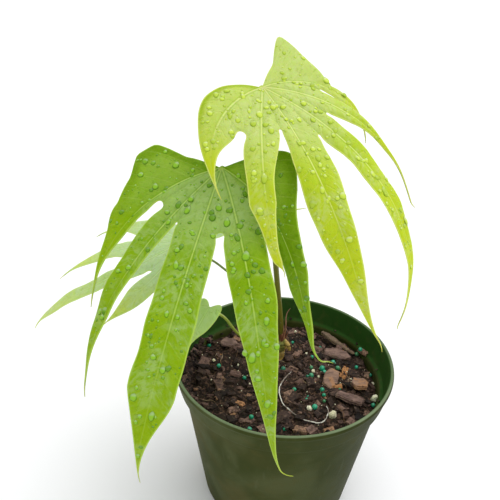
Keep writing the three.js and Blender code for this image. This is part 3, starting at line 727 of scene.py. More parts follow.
def jittered(form, shift, jitter):
    """The object's points, pushed about, and its faces."""
    points, faces = taken(form)
    return points + shift.uniform(-jitter, jitter, points.shape), faces


def strew(name, forms, places, potted=False):
    """One piece of many copies. Each place is a form's number, a turn and scale, a middle and a tone.
    Potted copies are kept inside the pot's wall."""
    points, faces, tones = [], [], []
    base = 0
    for number, turn, middle, tone in places:
        form, form_faces = forms[number]
        copy = form @ turn.T + middle
        points.append(drawn_in(copy) if potted else copy)
        faces += [[corner + base for corner in face] for face in form_faces]
        tones.append(np.full(len(form), tone))
        base += len(form)
    piece = new_piece(name, np.concatenate(points), faces)
    paint(piece, "tone", np.concatenate(tones))
    return piece


# Water on the blades


DROP_SINK = 0.05  # mm that a bead's foot lies under the blade's skin
DRY_RIM = 1.2  # mm from the margin without small beads
DRY_FOOT = 8  # mm from the junction without small beads
BIG_DROPS = [  # photo pixel across and down, radius in mm
    (246, 256, 2.3), (227, 222, 1.9), (252, 358, 2.0), (153, 357, 1.8), (177, 250, 1.6), (234, 253, 1.4),
    (176, 165, 1.9), (192, 232, 1.5), (193, 234, 1.3), (232, 264, 1.5), (233, 272, 1.3), (246, 303, 1.1),
    (258, 354, 1.4), (245, 353, 1.9), (258, 379, 1.8), (313, 149, 1.5), (319, 149, 1.4), (286, 119, 1.4),
    (320, 165, 1.3), (222, 99, 1.4), (300, 87, 1.1), (268, 145, 1.0), (264, 134, 0.9), (358, 158, 1.5),
    (325, 176, 1.1), (254, 173, 1.5), (264, 176, 1.2), (163, 254, 1.3), (176, 265, 1.6), (162, 298, 1.3),
    (187, 285, 1.2), (147, 309, 1.2), (118, 271, 1.5), (222, 260, 1.3), (260, 90, 0.9), (263, 91, 0.8),
]


def bead_forms():
    """Low uneven domes within about a unit circle, longer towards +x, as points and faces."""
    draw = np.random.default_rng(3)
    deselect()
    bpy.ops.mesh.primitive_uv_sphere_add(segments=12, ring_count=6, radius=1)
    round_points, faces = taken(bpy.context.active_object)
    forms = []
    for pear, wander in ((0, 0.05), (0.3, 0.1), (0.5, 0.16), (0.15, 0.3), (0.35, 0.24)):
        points = round_points.copy()
        angle = np.arctan2(points[:, 1], points[:, 0])
        swell = 1 + wander * sum(np.sin(k * angle + draw.uniform(0, 6.3)) / k for k in (2, 3))
        points[:, :2] *= swell[:, None]
        points[:, 1] *= 1 + pear * np.clip(points[:, 0], -1, 0.4)
        points[:, 2] *= np.where(points[:, 2] > 0, 0.4 * (1 + 0.25 * points[:, 0]), 0.12)
        forms.append((points, faces))
    return forms


def top_faces(piece):
    """Middles, normals and areas of the upper side's faces away from the margin and the stalk."""
    mesh = piece.data
    under, rim, forward = (np.empty(len(mesh.vertices), np.float32) for _ in range(3))
    for key, values in (("under", under), ("rim", rim), ("forward", forward)):
        mesh.attributes[key].data.foreach_get("value", values)
    clear = (rim > DRY_RIM) & (forward > DRY_FOOT)
    rows = np.array([
        (*face.center, *face.normal, face.area)
        for face in mesh.polygons
        if under[face.vertices[0]] + under[face.vertices[2]] == 0 and clear[face.vertices[0]]
    ])
    return rows[:, :3] / MM, rows[:, 3:6], rows[:, 6]


def bead_place(middle, normal, radius, draw):
    """The matrix and the middle that lay a bead on the blade there, a little longer downhill."""
    downhill = np.array([0, 0, -1.0]) + normal * normal[2]
    downhill = unit(downhill + 0.15 * np.array([draw.uniform(-1, 1), draw.uniform(-1, 1), 0]))
    downhill = unit(downhill - normal * (downhill @ normal))
    across = np.cross(normal, downhill)
    stretch = 0.9 + 0.75 * draw.random() ** 2
    turn = np.stack([downhill * radius * stretch, across * radius, normal * radius], -1)
    return turn, middle - normal * DROP_SINK * min(1, radius)


def small_beads(piece, count, forms, seed):
    """Places of beads strewn by chance over a blade's upper side, most of them small."""
    draw = random.Random(seed)
    middles, normals, areas = top_faces(piece)
    chosen = draw.choices(range(len(middles)), weights=areas.tolist(), k=count)
    places = []
    for i in chosen:
        radius = 0.5 + 1.4 * draw.random() ** 2.3
        turn, middle = bead_place(middles[i], normals[i], radius, draw)
        places.append((draw.randrange(forms), turn, middle, draw.random()))
    return places


def big_beads(blades, eye, aims):
    """Places of the large beads: a ray from the eye through each finds the first blade on its way."""
    draw = random.Random(5)
    places = {piece.name: [] for piece in blades}
    for aim, radius in aims:
        hits = [(piece, *piece.ray_cast(eye, aim)) for piece in blades]
        hits = [hit for hit in hits if hit[1]]
        if hits:
            piece, _, spot, normal, _ = min(hits, key=lambda hit: (hit[2] - eye).length)
            turn, middle = bead_place(np.array(spot) / MM, np.array(normal), radius, draw)
            places[piece.name].append((1 + len(places[piece.name]) % 2, turn, middle, 0.3))
    return places


# Stalks, the shoot they grow from, and the root that lies on the mix


STALKS = {  # each path runs from the shoot to just under the blade
    "a": dict(
        leaf="leaf_a", radius=2.15, tip=1.8,
        path=[(0, 28, 106), (-1.2, 26.6, 118), (-6.9, 18.6, 165), (-13.6, 9.2, 220), (-19.6, 0.8, 270)],
    ),
    "b": dict(
        leaf="leaf_b", radius=1.9, tip=1.6,
        path=[(-4.8, 26.8, 106), (-6.4, 25, 116), (-16, 13.5, 160), (-29, -1, 212)],
    ),
    "c": dict(
        leaf="leaf_c", radius=0.95, tip=0.75,
        path=[(-6.4, 31, 106), (-8.5, 31, 114), (-22, 27.5, 145), (-44, 22, 171.5), (-54, 19, 180.5)],
    ),
    "d": dict(
        leaf="leaf_d", radius=1.15, tip=0.95,
        path=[(-6.5, 29.2, 97.5), (-16, 27, 101.5), (-31, 22, 115.5), (-44, 12.5, 139)],
    ),
}
KNEE = 8.5  # mm, the length of the swollen joint under a blade
KNEE_SWELL = (1.02, 1.22, 1.05)  # times the stalk's radius at its tip
FOOT_SWELL = (1.75, 1.6, 1.12)  # times the stalk's radius at its foot
SHOOT = (-3, 28.5)  # mm across and back
SHOOT_RADIUS = 5.6
SHOOT_TOP = 107.5
SHOOT_LENGTH = 27
ROOT_RADIUS = 0.38  # mm
ROOT_LIFT = 0.9  # of its middle line, over the mix
ROOT_TRACK = [  # in the close-up, from the shoot to the root's end
    (668, 515), (655, 540), (620, 572), (592, 612), (583, 652), (590, 700), (612, 742), (642, 775),
    (670, 800), (720, 825), (800, 838), (852, 845), (882, 832), (900, 800), (905, 770), (893, 745),
]
STUB = [(0.3, 27.5, 109), (3, 25.4, 108.2), (5, 24.2, 105.6), (5.8, 23.6, 102.3)]
SPIKE = [(1.7, 25.7, 117), (1.8, 25.2, 124), (1.5, 24.4, 131), (2.2, 23.8, 136), (4, 23, 140)]
SHEATH_RADIUS = 2.62  # mm
SHEATH_FOOT = 3  # mm up the stalk
SHEATH_HEIGHT = 7
SHEATH_ARC = 300  # degrees round the stalk
SHEATH_WALL = 0.3


def tube(name, path, radii, sides=6, steps=14):
    """A smooth round tube through the points, closed at its ends."""
    deselect()
    bpy.ops.curve.primitive_bezier_curve_add()
    piece = bpy.context.active_object
    piece.name = name
    curve = piece.data
    curve.dimensions = "3D"
    curve.bevel_depth = MM
    curve.bevel_resolution = sides
    curve.resolution_u = steps
    curve.use_fill_caps = True
    knots = curve.splines[0].bezier_points
    knots.add(len(path) - len(knots))
    for knot, place, radius in zip(knots, path, radii):
        knot.co = Vector(place) * MM
        knot.radius = radius
        knot.handle_left_type = knot.handle_right_type = "AUTO"
    bpy.ops.object.convert(target="MESH")
    piece = bpy.context.active_object
    outwards(piece)
    smooth(piece, 50)
    return piece


def stalk(key):
    """A stalk with a thick foot that ends in a swollen knee under its blade."""
    spec = STALKS[key]
    leaf = LEAVES[spec["leaf"]]
    up = blade_frame(leaf)[2]
    junction = np.array(leaf["junction"])
    ends = [junction - up * depth for depth in (KNEE, KNEE / 2, 0.2)]
    path = [*spec["path"], *ends]
    count = len(spec["path"])
    thinner = spec["tip"] - spec["radius"]
    radii = [spec["radius"] + thinner * math.sin(math.pi / 2 * i / count) for i in range(count)]
    radii[0] *= 1.25
    radii += [spec["tip"] * swell for swell in KNEE_SWELL]
    return tube("stalk_" + key, path, radii, 8, 18)


def join(pieces, name):
    """Makes the pieces one, with its place and turn in its mesh."""
    deselect()
    for piece in pieces:
        piece.select_set(True)
    bpy.context.view_layer.objects.active = pieces[0]
    bpy.ops.object.join()
    bpy.ops.object.transform_apply(location=True, rotation=True, scale=True)
    pieces[0].name = name
    return pieces[0]


def ball(place, radius, stretch=(1, 1, 1)):
    """A round lump; place and radius are in millimetres."""
    deselect()
    bpy.ops.mesh.primitive_uv_sphere_add(
        segments=24, ring_count=16, radius=radius * MM, location=Vector(place) * MM, scale=stretch
    )
    return bpy.context.active_object


def shoot():
    """Short shoot with a root stub, a bulge, a nub and a swollen foot round each stalk, grown together."""
    deselect()
    bpy.ops.mesh.primitive_cylinder_add(
        vertices=32, radius=SHOOT_RADIUS * MM, depth=SHOOT_LENGTH * MM,
        location=Vector((*SHOOT, SHOOT_TOP - SHOOT_LENGTH / 2)) * MM,
    )
    parts = [bpy.context.active_object]
    parts += [ball((*SHOOT, 107), 5.4, (1, 1, 0.6)), ball((0, 25.8, 104.6), 2.7, (1, 1, 1.7))]
    parts += [ball((0.6, 24.9, 98.2), 2.0), ball((-6, 25, 99), 2.2), ball((-7.4, 31, 101), 2.4, (1, 1, 1.5))]
    parts += [tube("stub", STUB, [1.9, 1.65, 1.5, 1.05], 8, 10)]
    for spec in STALKS.values():
        foot, above = (Vector(place) for place in spec["path"][:2])
        run = (above - foot).normalized()
        places = [foot - run * 5, foot, foot + run * 4]
        parts.append(tube("foot", places, [spec["radius"] * swell for swell in FOOT_SWELL], 8, 8))
    piece = join(parts, "shoot")
    modify(piece, "REMESH", mode="VOXEL", voxel_size=0.38 * MM)
    modify(piece, "SMOOTH", factor=0.5, iterations=3)
    points = points_of(piece)
    normals = np.array([vertex.normal for vertex in piece.data.vertices])
    rings = 0.10 * np.sin(points[:, 2] * 2.6) * (points[:, 2] < 109)
    set_points(piece, points + normals * (0.28 * rough(points, 3.5, 4) + rings)[:, None])
    smooth(piece, 180)
    return piece


def sheath():
    """Papery remains of a sheath round the first stalk's foot, torn at the top, with dry slivers."""
    foot, above = (np.array(place, float) for place in STALKS["a"]["path"][:2])
    axis = unit(above - foot)
    side = unit(np.cross(axis, [0, 1, 0]))
    front = np.cross(side, axis)
    turns, rises = 36, 14
    rows = []
    for i in range(rises + 1):
        for j in range(turns + 1):
            angle = math.radians(SHEATH_ARC * (j / turns - 0.5))
            tear = noise.noise(Vector((j * 0.55, 2.0, 0))) * 3.2 + 1.4 * math.cos(angle * 2 + 1)
            height = SHEATH_FOOT + (SHEATH_HEIGHT + tear) * i / rises
            curl = 0.25 * noise.noise(Vector((j * 0.4, i * 0.35, 5.0))) + 0.5 * (i / rises) ** 3
            out = -math.cos(angle) * front + math.sin(angle) * side
            rows.append(foot + axis * height + out * (SHEATH_RADIUS + curl))
    starts = [i * (turns + 1) + j for i in range(rises) for j in range(turns)]
    faces = [[a, a + 1, a + turns + 2, a + turns + 1] for a in starts]
    piece = new_piece("sheath", rows, faces)
    modify(piece, "SOLIDIFY", thickness=SHEATH_WALL * MM, offset=0)
    slivers = [
        (SPIKE, [0.55, 0.5, 0.45, 0.32, 0.1]),
        ([(-0.4, 25.4, 114), (0.4, 24.2, 119), (0.2, 24.3, 124.5)], [0.5, 0.4, 0.1]),
        ([(2.2, 27, 111), (3.3, 26.2, 115), (4.6, 26.4, 118.5)], [0.6, 0.4, 0.1]),
        ([(-2.8, 25.8, 110), (-3.6, 24.6, 113), (-3.4, 24.2, 116.6)], [0.55, 0.4, 0.1]),
    ]
    parts = [piece] + [tube("sliver", path, radii, 2, 6) for path, radii in slivers]
    return join(parts, "sheath")


def loose_root(lens):
    """The root that lies on the mix, a little knobbly and thinner at its ends."""
    track = [on_mix(place, lens) for place in ROOT_TRACK]
    path = [(x, y, mix_height(x, y) + ROOT_LIFT) for x, y in track]
    middle = [ROOT_RADIUS * (1 + 0.15 * math.sin(2.3 * i)) for i in range(len(path) - 2)]
    piece = tube("fallen_root", path, [0.25, *middle, 0.18], 4, 12)
    points = points_of(piece)
    set_points(piece, points + 0.16 * np.stack([rough(points, 2.4, k, 2) for k in (1, 2, 3)], -1))
    return piece


# Potting mix


BARK = [  # the six chips that stand out: place, thickness and outline in mm, turn and tilts in degrees
    dict(
        node="bark_splinter", slot="tan_bark", at=(43, 42, 97.2), turn=-43, tilt=(3, 7), thick=2.6,
        outline=[
            (-15, -1.2), (-9, -1.9), (6, -1.7), (15.5, -1.0), (16, 0.8), (4, 1.8), (-10, 1.8), (-15, 0.9),
        ],
    ),
    dict(
        node="bark_plate_dark", slot="dark_bark", at=(42, 29, 97), turn=-20, tilt=(4, -5), thick=2.4,
        outline=[(-9, -4), (4, -5.5), (10.5, -2), (6, 3), (-2, 5), (-9.5, 2.5)],
    ),
    dict(
        node="bark_plate_orange", slot="orange_bark", at=(34.5, 0.5, 96.4), turn=70, tilt=(8, -12),
        thick=2.6, outline=[(-9, -3), (-2, -5.5), (8, -4), (9, 2), (3, 5), (-6, 4)],
    ),
    dict(
        node="bark_block_orange", slot="orange_bark", at=(55, -3, 96), turn=8, tilt=(-10, 4), thick=3.4,
        outline=[(-5, -5), (3, -6), (5.5, -1), (4, 5), (-3, 6), (-6, 1)],
    ),
    dict(
        node="bark_plank", slot="dark_bark", at=(46, -18, 96), turn=-24, tilt=(-12, 3), thick=3,
        outline=[(-9, -3), (2, -4.2), (9, -3), (9.5, 2), (1, 4), (-8.5, 3)],
    ),
    dict(
        node="bark_chip_red", slot="dark_bark", at=(-39, 37, 97), turn=10, tilt=(10, 6), thick=2.4,
        outline=[(-6, -3.5), (1, -4.5), (6.5, -2), (5, 3.5), (-2, 4.5), (-6.5, 1)],
    ),
]


def mix_height(x, y):
    """The mix's top, in millimetres: a sum of waves, a little higher at the back."""
    lumps = 1.1 * np.sin(x / 5.3 + 1.3 * np.sin(y / 9.1)) * np.cos(y / 6.1 - 0.8)
    swell = 1.3 * np.sin(x / 14 - 0.6) * np.sin(y / 17 + 1.1)
    return 94 + lumps + swell + 0.018 * y - 1.6 * (np.hypot(x, y) / 66) ** 4


def wall_radius(z):
    """The pot's inner radius at height z below the collar, in millimetres."""
    sizes = bpy.context.scene.anthurium_pot
    low = sizes.floor / MM + 1
    high = (sizes.height - sizes.collar) / MM - 2.4
    foot, neck = sizes.foot / MM, sizes.neck / MM
    return foot - sizes.wall / MM + (neck - foot) * (z - low) / (high - low)


def outer_reach(z):
    """How far from the pot's middle a thing may reach at height z and stay inside the wall's outer face."""
    sizes = bpy.context.scene.anthurium_pot
    height, foot, neck, collar_foot, rim = (
        size / MM for size in (sizes.height, sizes.foot, sizes.neck, sizes.collar_foot, sizes.rim)
    )
    step = height - sizes.collar / MM
    heights = (1.8, step - 3, step - 1.4, step, height - 4)
    return np.interp(z, heights, (foot - 0.5, neck - 0.5, neck + 0.2, collar_foot - 1.2, rim - 1.5))


def drawn_in(copy):
    """The copy's points, moved toward the pot's middle until none of them reaches through the wall."""
    reach = np.hypot(copy[:, 0], copy[:, 1])
    over = max(0, (reach - outer_reach(copy[:, 2])).max())
    middle = copy[:, :2].mean(axis=0)
    copy[:, :2] -= over * middle / np.linalg.norm(middle)
    return copy


def round_grid(flat):
    """A square of points, -1 to 1, drawn to a disc with even cells."""
    x, y = flat.T
    wide = np.abs(x) > np.abs(y)
    radius = np.where(wide, x, y)
    ratio = np.where(wide, y, x) / np.where(radius == 0, 1, radius)
    angle = np.where(wide, np.pi / 4 * ratio, np.pi / 2 - np.pi / 4 * ratio)
    return np.stack([radius * np.cos(angle), radius * np.sin(angle)], -1)


LEDGE_HEIGHT = 99.0  # mm above the ground, of the step inside the collar
CELLS = 150  # of the bed, along each side of the square it is made from
BED_GAP = 0.15  # mm between the bed and the wall
BED_FOOT_RADIUS = 50
BED_FOOT = 2.5


def mix_bed():
    """The heap of fine mix: a disc of small uneven cells and a skirt down to the pot's floor."""
    deselect()
    bpy.ops.mesh.primitive_grid_add(x_subdivisions=CELLS, y_subdivisions=CELLS, size=2)
    piece = bpy.context.active_object
    piece.name = "mix_bed"
    disc = round_grid(points_of(piece)[:, :2] * MM)
    reach = wall_radius(mix_height(*(disc * 66).T)) - BED_GAP
    x, y = (disc * reach[:, None]).T
    z = mix_height(x, y) - 0.5
    flat = np.stack([x, y, z], -1)
    z += 1.1 * rough(flat, 5, 1, 4) + 0.5 * np.abs(rough(flat, 1.9, 2, 3))
    set_points(piece, np.stack([x, y, z], -1))
    count = len(x)
    bpy.ops.object.mode_set(mode="EDIT")
    bpy.ops.mesh.select_mode(type="EDGE")
    bpy.ops.mesh.select_all(action="DESELECT")
    bpy.ops.mesh.select_non_manifold()
    bpy.ops.mesh.extrude_region_move()
    bpy.ops.object.mode_set(mode="OBJECT")
    points = points_of(piece)
    foot = points[count:]
    foot[:, :2] *= BED_FOOT_RADIUS / np.linalg.norm(foot[:, :2], axis=1)[:, None]
    foot[:, 2] = BED_FOOT
    set_points(piece, points)
    bpy.ops.object.mode_set(mode="EDIT")
    bpy.ops.mesh.edge_face_add()
    bpy.ops.object.mode_set(mode="OBJECT")
    outwards(piece)
    smooth(piece, 35)
    return piece


def bark_chip(spec, seed):
    """A split piece of bark: a slab cut to the outline, with grain along it and steps down its sides."""
    half = spec["thick"] / 2
    outline = [(x, y, -half) for x, y in spec["outline"]]
    piece = new_piece(spec["node"].replace("bark", "chip"), outline, [list(range(len(outline)))])
    bpy.ops.object.mode_set(mode="EDIT")
    bpy.ops.mesh.select_all(action="SELECT")
    bpy.ops.mesh.extrude_region_move(TRANSFORM_OT_translate={"value": (0, 0, spec["thick"] * MM)})
    bpy.ops.object.mode_set(mode="OBJECT")
    outwards(piece)
    modify(piece, "REMESH", mode="VOXEL", voxel_size=0.42 * MM)
    points = points_of(piece)
    normals = np.array([vertex.normal for vertex in piece.data.vertices])
    steep = 1 - np.abs(normals[:, 2])
    layers = 0.45 * np.sign(np.sin(points[:, 2] * 4.4 + 1.5 * rough(points, 6, seed, 1))) * steep
    grain = 0.3 * rough(points * [0.22, 1, 1], 1.3, seed + 1) + 0.5 * rough(points, 5, seed + 2, 2)
    set_points(piece, points + normals * (layers * 0.6 + grain)[:, None])
    piece.rotation_euler = [math.radians(a) for a in (*spec["tilt"], spec["turn"])]
    piece.location = Vector(spec["at"]) * MM
    bpy.ops.object.transform_apply(location=True, rotation=True, scale=True)
    smooth(piece, 42)
    return piece


def lump_forms(count, jitter, seed):
    """Angular lumps about 1 mm long: a cube cut once and pushed out of shape."""
    shift = np.random.default_rng(seed)
    forms = []
    for _ in range(count):
        deselect()
        bpy.ops.mesh.primitive_cube_add(size=1)
        bpy.ops.object.mode_set(mode="EDIT")
        bpy.ops.mesh.subdivide(number_cuts=1)
        bpy.ops.object.mode_set(mode="OBJECT")
        forms.append(jittered(bpy.context.active_object, shift, jitter))
    return forms


FULL_TURN = 6.28  # radians


def turn_of(tip_x, tip_y, spin, sizes):
    """The matrix that scales a form to its sizes, tips it and spins it."""
    turn = Matrix.Rotation(spin, 3, "Z") @ Matrix.Rotation(tip_y, 3, "Y") @ Matrix.Rotation(tip_x, 3, "X")
    return np.array(turn) * np.array(sizes)


def ground(beds, x, y):
    """Height of the topmost of these pieces there, or of the pot's ledge, in millimetres."""
    heights = []
    for bed in beds:
        hit, spot, _, _ = bed.ray_cast(Vector((x * MM, y * MM, 0.2)), Vector((0, 0, -1)))
        if hit:
            heights.append(spot.z / MM)
    return max(heights, default=LEDGE_HEIGHT)


SHOOT_CLEAR = 7  # mm round the shoot's middle without crumbs
CRUMB = 1.4  # mm, the length of the smallest crumb
CRUMB_MORE = 6.2  # mm by which the largest is longer


def crumb_places(draw, beds, count, forms):
    """Crumbs and flakes of bark all over, many small and a few large, none inside the shoot."""
    places = []
    while len(places) < count:
        reach = MIX_REACH * math.sqrt(draw.random())
        angle = draw.uniform(0, 2 * math.pi)
        x, y = reach * math.cos(angle), reach * math.sin(angle)
        if math.hypot(x - SHOOT[0], y - SHOOT[1]) < SHOOT_CLEAR:
            continue
        long = CRUMB + CRUMB_MORE * draw.random() ** 3.2
        sizes = (long, long * draw.uniform(0.4, 0.85), long * draw.uniform(0.22, 0.5))
        turn = turn_of(draw.gauss(0, 0.32), draw.gauss(0, 0.32), draw.uniform(0, FULL_TURN), sizes)
        z = min(ground(beds, x, y), mix_height(x, y) + 3) + sizes[2] * 0.22
        places.append((draw.randrange(forms), turn, np.array([x, y, z]), draw.random()))
    return places


LEDGE_REACH = 69.0  # mm from the pot's middle to the bits on the step inside the collar
LEDGE = [  # place round the pot in degrees, size in mm
    (-158, 2.2), (-131, 1.4), (-97, 1.8), (-52, 1.3), (-20, 1.6), (8, 1.3), (34, 1.8), (52, 1.3), (71, 1.7),
    (83, 2.1), (97, 1.5), (118, 2.2), (127, 1.4), (149, 1.7), (171, 1.9), (198, 1.5),
]
SPILL = (132, 262)  # degrees round the pot between which mix lies up to the collar
SPILL_COUNT = 330
SPILL_REACH = 65.4  # mm from the pot's middle to the inner edge of the spilled mix
SPILL_WIDTH = 4.2
SPILL_FOOT = 95.2
SPILL_RISE = 3.4


def ledge_places(draw, forms):
    """Bits caught on the step inside the collar, and mix spilled over it on one side."""
    bits = [(angle, LEDGE_REACH + draw.uniform(-0.3, 0.3), size, LEDGE_HEIGHT) for angle, size in LEDGE]
    for _ in range(SPILL_COUNT):
        angle, reach = draw.triangular(*SPILL), draw.uniform(SPILL_REACH, SPILL_REACH + SPILL_WIDTH)
        rise = SPILL_RISE * ((reach - SPILL_REACH) / SPILL_WIDTH) ** 0.7
        bits.append((angle, reach, draw.uniform(1.8, 4.6), SPILL_FOOT + rise))
    places = []
    for angle, reach, size, z in bits:
        x, y = reach * math.cos(math.radians(angle)), reach * math.sin(math.radians(angle))
        sizes = (size, size * 0.7, size * 0.5)
        turn = turn_of(draw.gauss(0, 0.3), draw.gauss(0, 0.3), draw.uniform(0, FULL_TURN), sizes)
        places.append((draw.randrange(forms), turn, np.array([x, y, z + size * 0.2]), draw.random() * 0.9))
    return places


SMALL_CHIPS = [  # x, y, length, width, thickness, turn in degrees, tone
    (9.5, 58.5, 8, 5, 3, 25, 0.88), (12, 30, 7.5, 5.2, 2.6, 60, 0.93), (5, -15, 8, 6, 2.6, 20, 0.94),
    (-29, -25, 6, 4, 2.2, -30, 0.99), (-57, 14, 13, 8, 3, 70, 0.8), (46, 12, 8, 4.5, 2.8, 75, 1.0),
    (-15, 2, 12, 6, 2.6, 40, 0.55), (-44, -8, 11, 7.5, 3, 110, 0.7), (-31, 52, 10, 6, 2.6, 5, 0.72),
    (11, -47, 9, 5, 2.6, 160, 0.97), (-12, -50, 9, 6, 2.6, 95, 0.82), (47, -37, 9, 6.5, 2.8, 130, 0.6),
    (26, 46, 12, 6.5, 2.8, -35, 0.5), (-14, -27, 9, 6, 2.6, 75, 0.6), (20, -3, 9, 5.6, 2.4, 100, 0.4),
    (31, 17, 7, 5.2, 2.2, 35, 0.62), (59, 24, 9, 6, 2.8, 80, 0.45), (-23, 33, 11, 6, 2.6, 140, 0.66),
    (0, 8, 7.5, 5.4, 2.2, 15, 0.5), (36, -12, 8, 5, 2.4, 60, 0.58), (-36, -45, 10, 6.5, 2.8, 30, 0.56),
    (30, -44, 7, 4, 2.2, 10, 0.98), (62, 30, 8, 4, 2.4, -40, 0.95), (-2, -38, 12, 7, 2.8, 30, 0.5),
    (52, 11, 9, 6, 2.6, -15, 0.45), (24, -30, 7, 5, 2.2, 50, 0.4), (-24, -40, 9, 6, 2.8, 150, 0.9),
]


def small_chip_places(draw, beds, forms):
    """Places of the small chips, each tipped a little by chance."""
    places = []
    for x, y, long, wide, thick, spin, tone in SMALL_CHIPS:
        turn = turn_of(draw.gauss(0, 0.16), draw.gauss(0, 0.16), math.radians(spin), (long, wide, thick))
        z = ground(beds, x, y) + thick * 0.18
        places.append((draw.randrange(forms), turn, np.array([x, y, z]), tone))
    return places


PRILLS = [  # place in the close-up, radius in mm
    ((98, 337), 1.7), ((188, 490), 1.6), ((935, 465), 1.9), ((950, 478), 1.5), ((965, 505), 1.7),
    ((820, 205), 1.4), ((850, 365), 1.3), ((1100, 410), 1.7), ((1125, 425), 1.6), ((1088, 497), 1.4),
    ((862, 520), 2.1), ((878, 541), 1.7), ((797, 447), 1.5), ((792, 505), 1.4), ((793, 555), 1.8),
    ((768, 560), 1.2), ((608, 522), 1.8), ((683, 636), 1.5), ((775, 686), 1.5), ((765, 702), 1.4),
    ((817, 746), 2.0), ((877, 720), 1.2), ((863, 650), 1.6), ((875, 682), 1.4), ((977, 637), 1.6),
    ((1248, 530), 1.4), ((1230, 745), 1.5), ((620, 893), 1.3), ((388, 903), 1.9), ((110, 780), 1.3),
    ((355, 570), 1.5), ((400, 835), 1.7), ((670, 342), 1.2), ((963, 350), 1.2),
]
PERLITE = [  # place and size, both in the close-up
    ((935, 805), 60), ((925, 794), 34), ((780, 760), 38), ((1240, 705), 55), ((1262, 585), 26),
    ((805, 525), 30), ((690, 268), 20), ((288, 195), 30), ((288, 312), 26), ((760, 415), 18),
    ((632, 475), 15), ((840, 560), 18), ((945, 380), 12), ((1115, 790), 15), ((140, 580), 12),
    ((155, 460), 24), ((175, 425), 22),
]
PERLITE_BY_CHANCE = 6  # grains of middling size
PERLITE_REACH = 64  # mm from the pot's middle
SUNK = 0.22  # share of a grain's size from the mix up to its middle
PRILL_SUNK = 0.55  # share of a prill's radius from the mix up to its middle


def prill_form():
    """A ball that isn't quite round."""
    deselect()
    bpy.ops.mesh.primitive_uv_sphere_add(segments=14, ring_count=9, radius=1)
    return jittered(bpy.context.active_object, np.random.default_rng(1), 0.02)


def perlite_forms(count):
    """Lumps with uneven faces."""
    shift = np.random.default_rng(8)
    forms = []
    for _ in range(count):
        deselect()
        bpy.ops.mesh.primitive_ico_sphere_add(subdivisions=2, radius=0.5)
        forms.append(jittered(bpy.context.active_object, shift, 0.1))
    return forms


def prill_places(draw, beds, lens):
    """Places of the prills where the photo shows them, half sunk in the mix."""
    places = []
    for place, radius in PRILLS:
        x, y = on_mix(place, lens)
        tips = [draw.uniform(0, 3) for _ in "xy"]
        turn = turn_of(*tips, 0, [radius * draw.uniform(0.93, 1.05) for _ in "xyz"])
        places.append((0, turn, np.array([x, y, ground(beds, x, y) + radius * PRILL_SUNK]), draw.random()))
    return places


def perlite_places(draw, beds, forms, dust, lens):
    """Places of the larger grains where the photo shows them, then of fine white dust by chance."""
    spots = [(*on_mix(place, lens), size / CLOSE_UP_SCALE * PIXEL_ON_MIX) for place, size in PERLITE]
    for number in range(PERLITE_BY_CHANCE + dust):
        reach, angle = PERLITE_REACH * math.sqrt(draw.random()), draw.uniform(0, 2 * math.pi)
        size = draw.uniform(1.5, 2.4) if number < PERLITE_BY_CHANCE else draw.uniform(0.5, 1.1)
        spots.append((reach * math.cos(angle), reach * math.sin(angle), size))
    places = []
    for x, y, size in spots:
        tips = [draw.uniform(0, 3) for _ in "xy"]
        turn = turn_of(*tips, 0, [size, size * draw.uniform(0.7, 1), size * 0.8])
        form = draw.randrange(forms)
        places.append((form, turn, np.array([x, y, ground(beds, x, y) + size * SUNK]), draw.random()))
    return places


FIBRE_START = 52  # mm to each side of the pot's middle
FIBRE_REACH = 62  # mm from the pot's middle
FIBRE_STEP = 3.6
FIBRE_RADII = [0.1, 0.2, 0.22, 0.18, 0.08]


def fibres(draw, beds, count):
    """Thin dry rootlets and bark fibres that lie on the mix."""
    parts = []
    while len(parts) < count:
        x, y = (draw.uniform(-FIBRE_START, FIBRE_START) for _ in "xy")
        heading = draw.uniform(0, 2 * math.pi)
        path = []
        for _ in FIBRE_RADII:
            path.append((x, y, ground(beds, x, y) + 0.25))
            heading += draw.gauss(0, 0.45)
            x += FIBRE_STEP * math.cos(heading)
            y += FIBRE_STEP * math.sin(heading)
        if max(math.hypot(*place[:2]) for place in path) < FIBRE_REACH:
            parts.append(tube("fibre", path, FIBRE_RADII, 0, 4))
    return join(parts, "fibres")


# Pot


POT_STEPS = 144
CORNER_CUT = 0.9  # mm
DRAIN_RING = 40  # mm from the pot's middle to the middle of a drain hole
DRAIN_RADIUS = 4.5
DRAIN_DEPTH = 12


def rounded(path, cut):
    """The line with each corner cut off twice, so that it turns in small steps."""
    for length in (cut, cut * 0.35):
        made = [path[0]]
        for before, corner, after in zip(path, path[1:], path[2:]):
            for other in (before, after):
                run = other - corner
                made.append(corner + run * min(length / np.linalg.norm(run), 0.3))
        path = made + [path[-1]]
    return path


def pot_profile(sizes):
    """The wall's outline in mm, from the middle of the underside round the lip to the middle inside."""
    height, rim, collar = sizes.height / MM, sizes.rim / MM, sizes.collar / MM
    collar_foot, neck, foot = sizes.collar_foot / MM, sizes.neck / MM, sizes.foot / MM
    wall, floor = sizes.wall / MM, sizes.floor / MM
    step = height - collar
    outside = [
        (0, 0.6), (foot - 9, 0.6), (foot - 7, 0), (foot - 1.5, 0), (foot, 1.8), (neck, step - 3),
        (neck + 0.7, step - 1.4), (collar_foot - 0.5, step), (collar_foot, step + 1.2),
        (rim - 0.9, height - 4), (rim, height - 3.1), (rim, height - 0.9), (rim - 0.9, height),
    ]
    inside = [
        (rim - 2, height), (rim - 2.8, height - 0.9), (collar_foot - wall, step + 1.8),
        (collar_foot - wall - 0.8, step + 0.9), (neck - wall + 0.3, step - 0.6), (neck - wall, step - 2.4),
        (foot - wall, floor + 1), (foot - wall - 1, floor), (0, floor),
    ]
    return rounded([np.array((r, 0, z)) for r, z in outside + inside], CORNER_CUT)


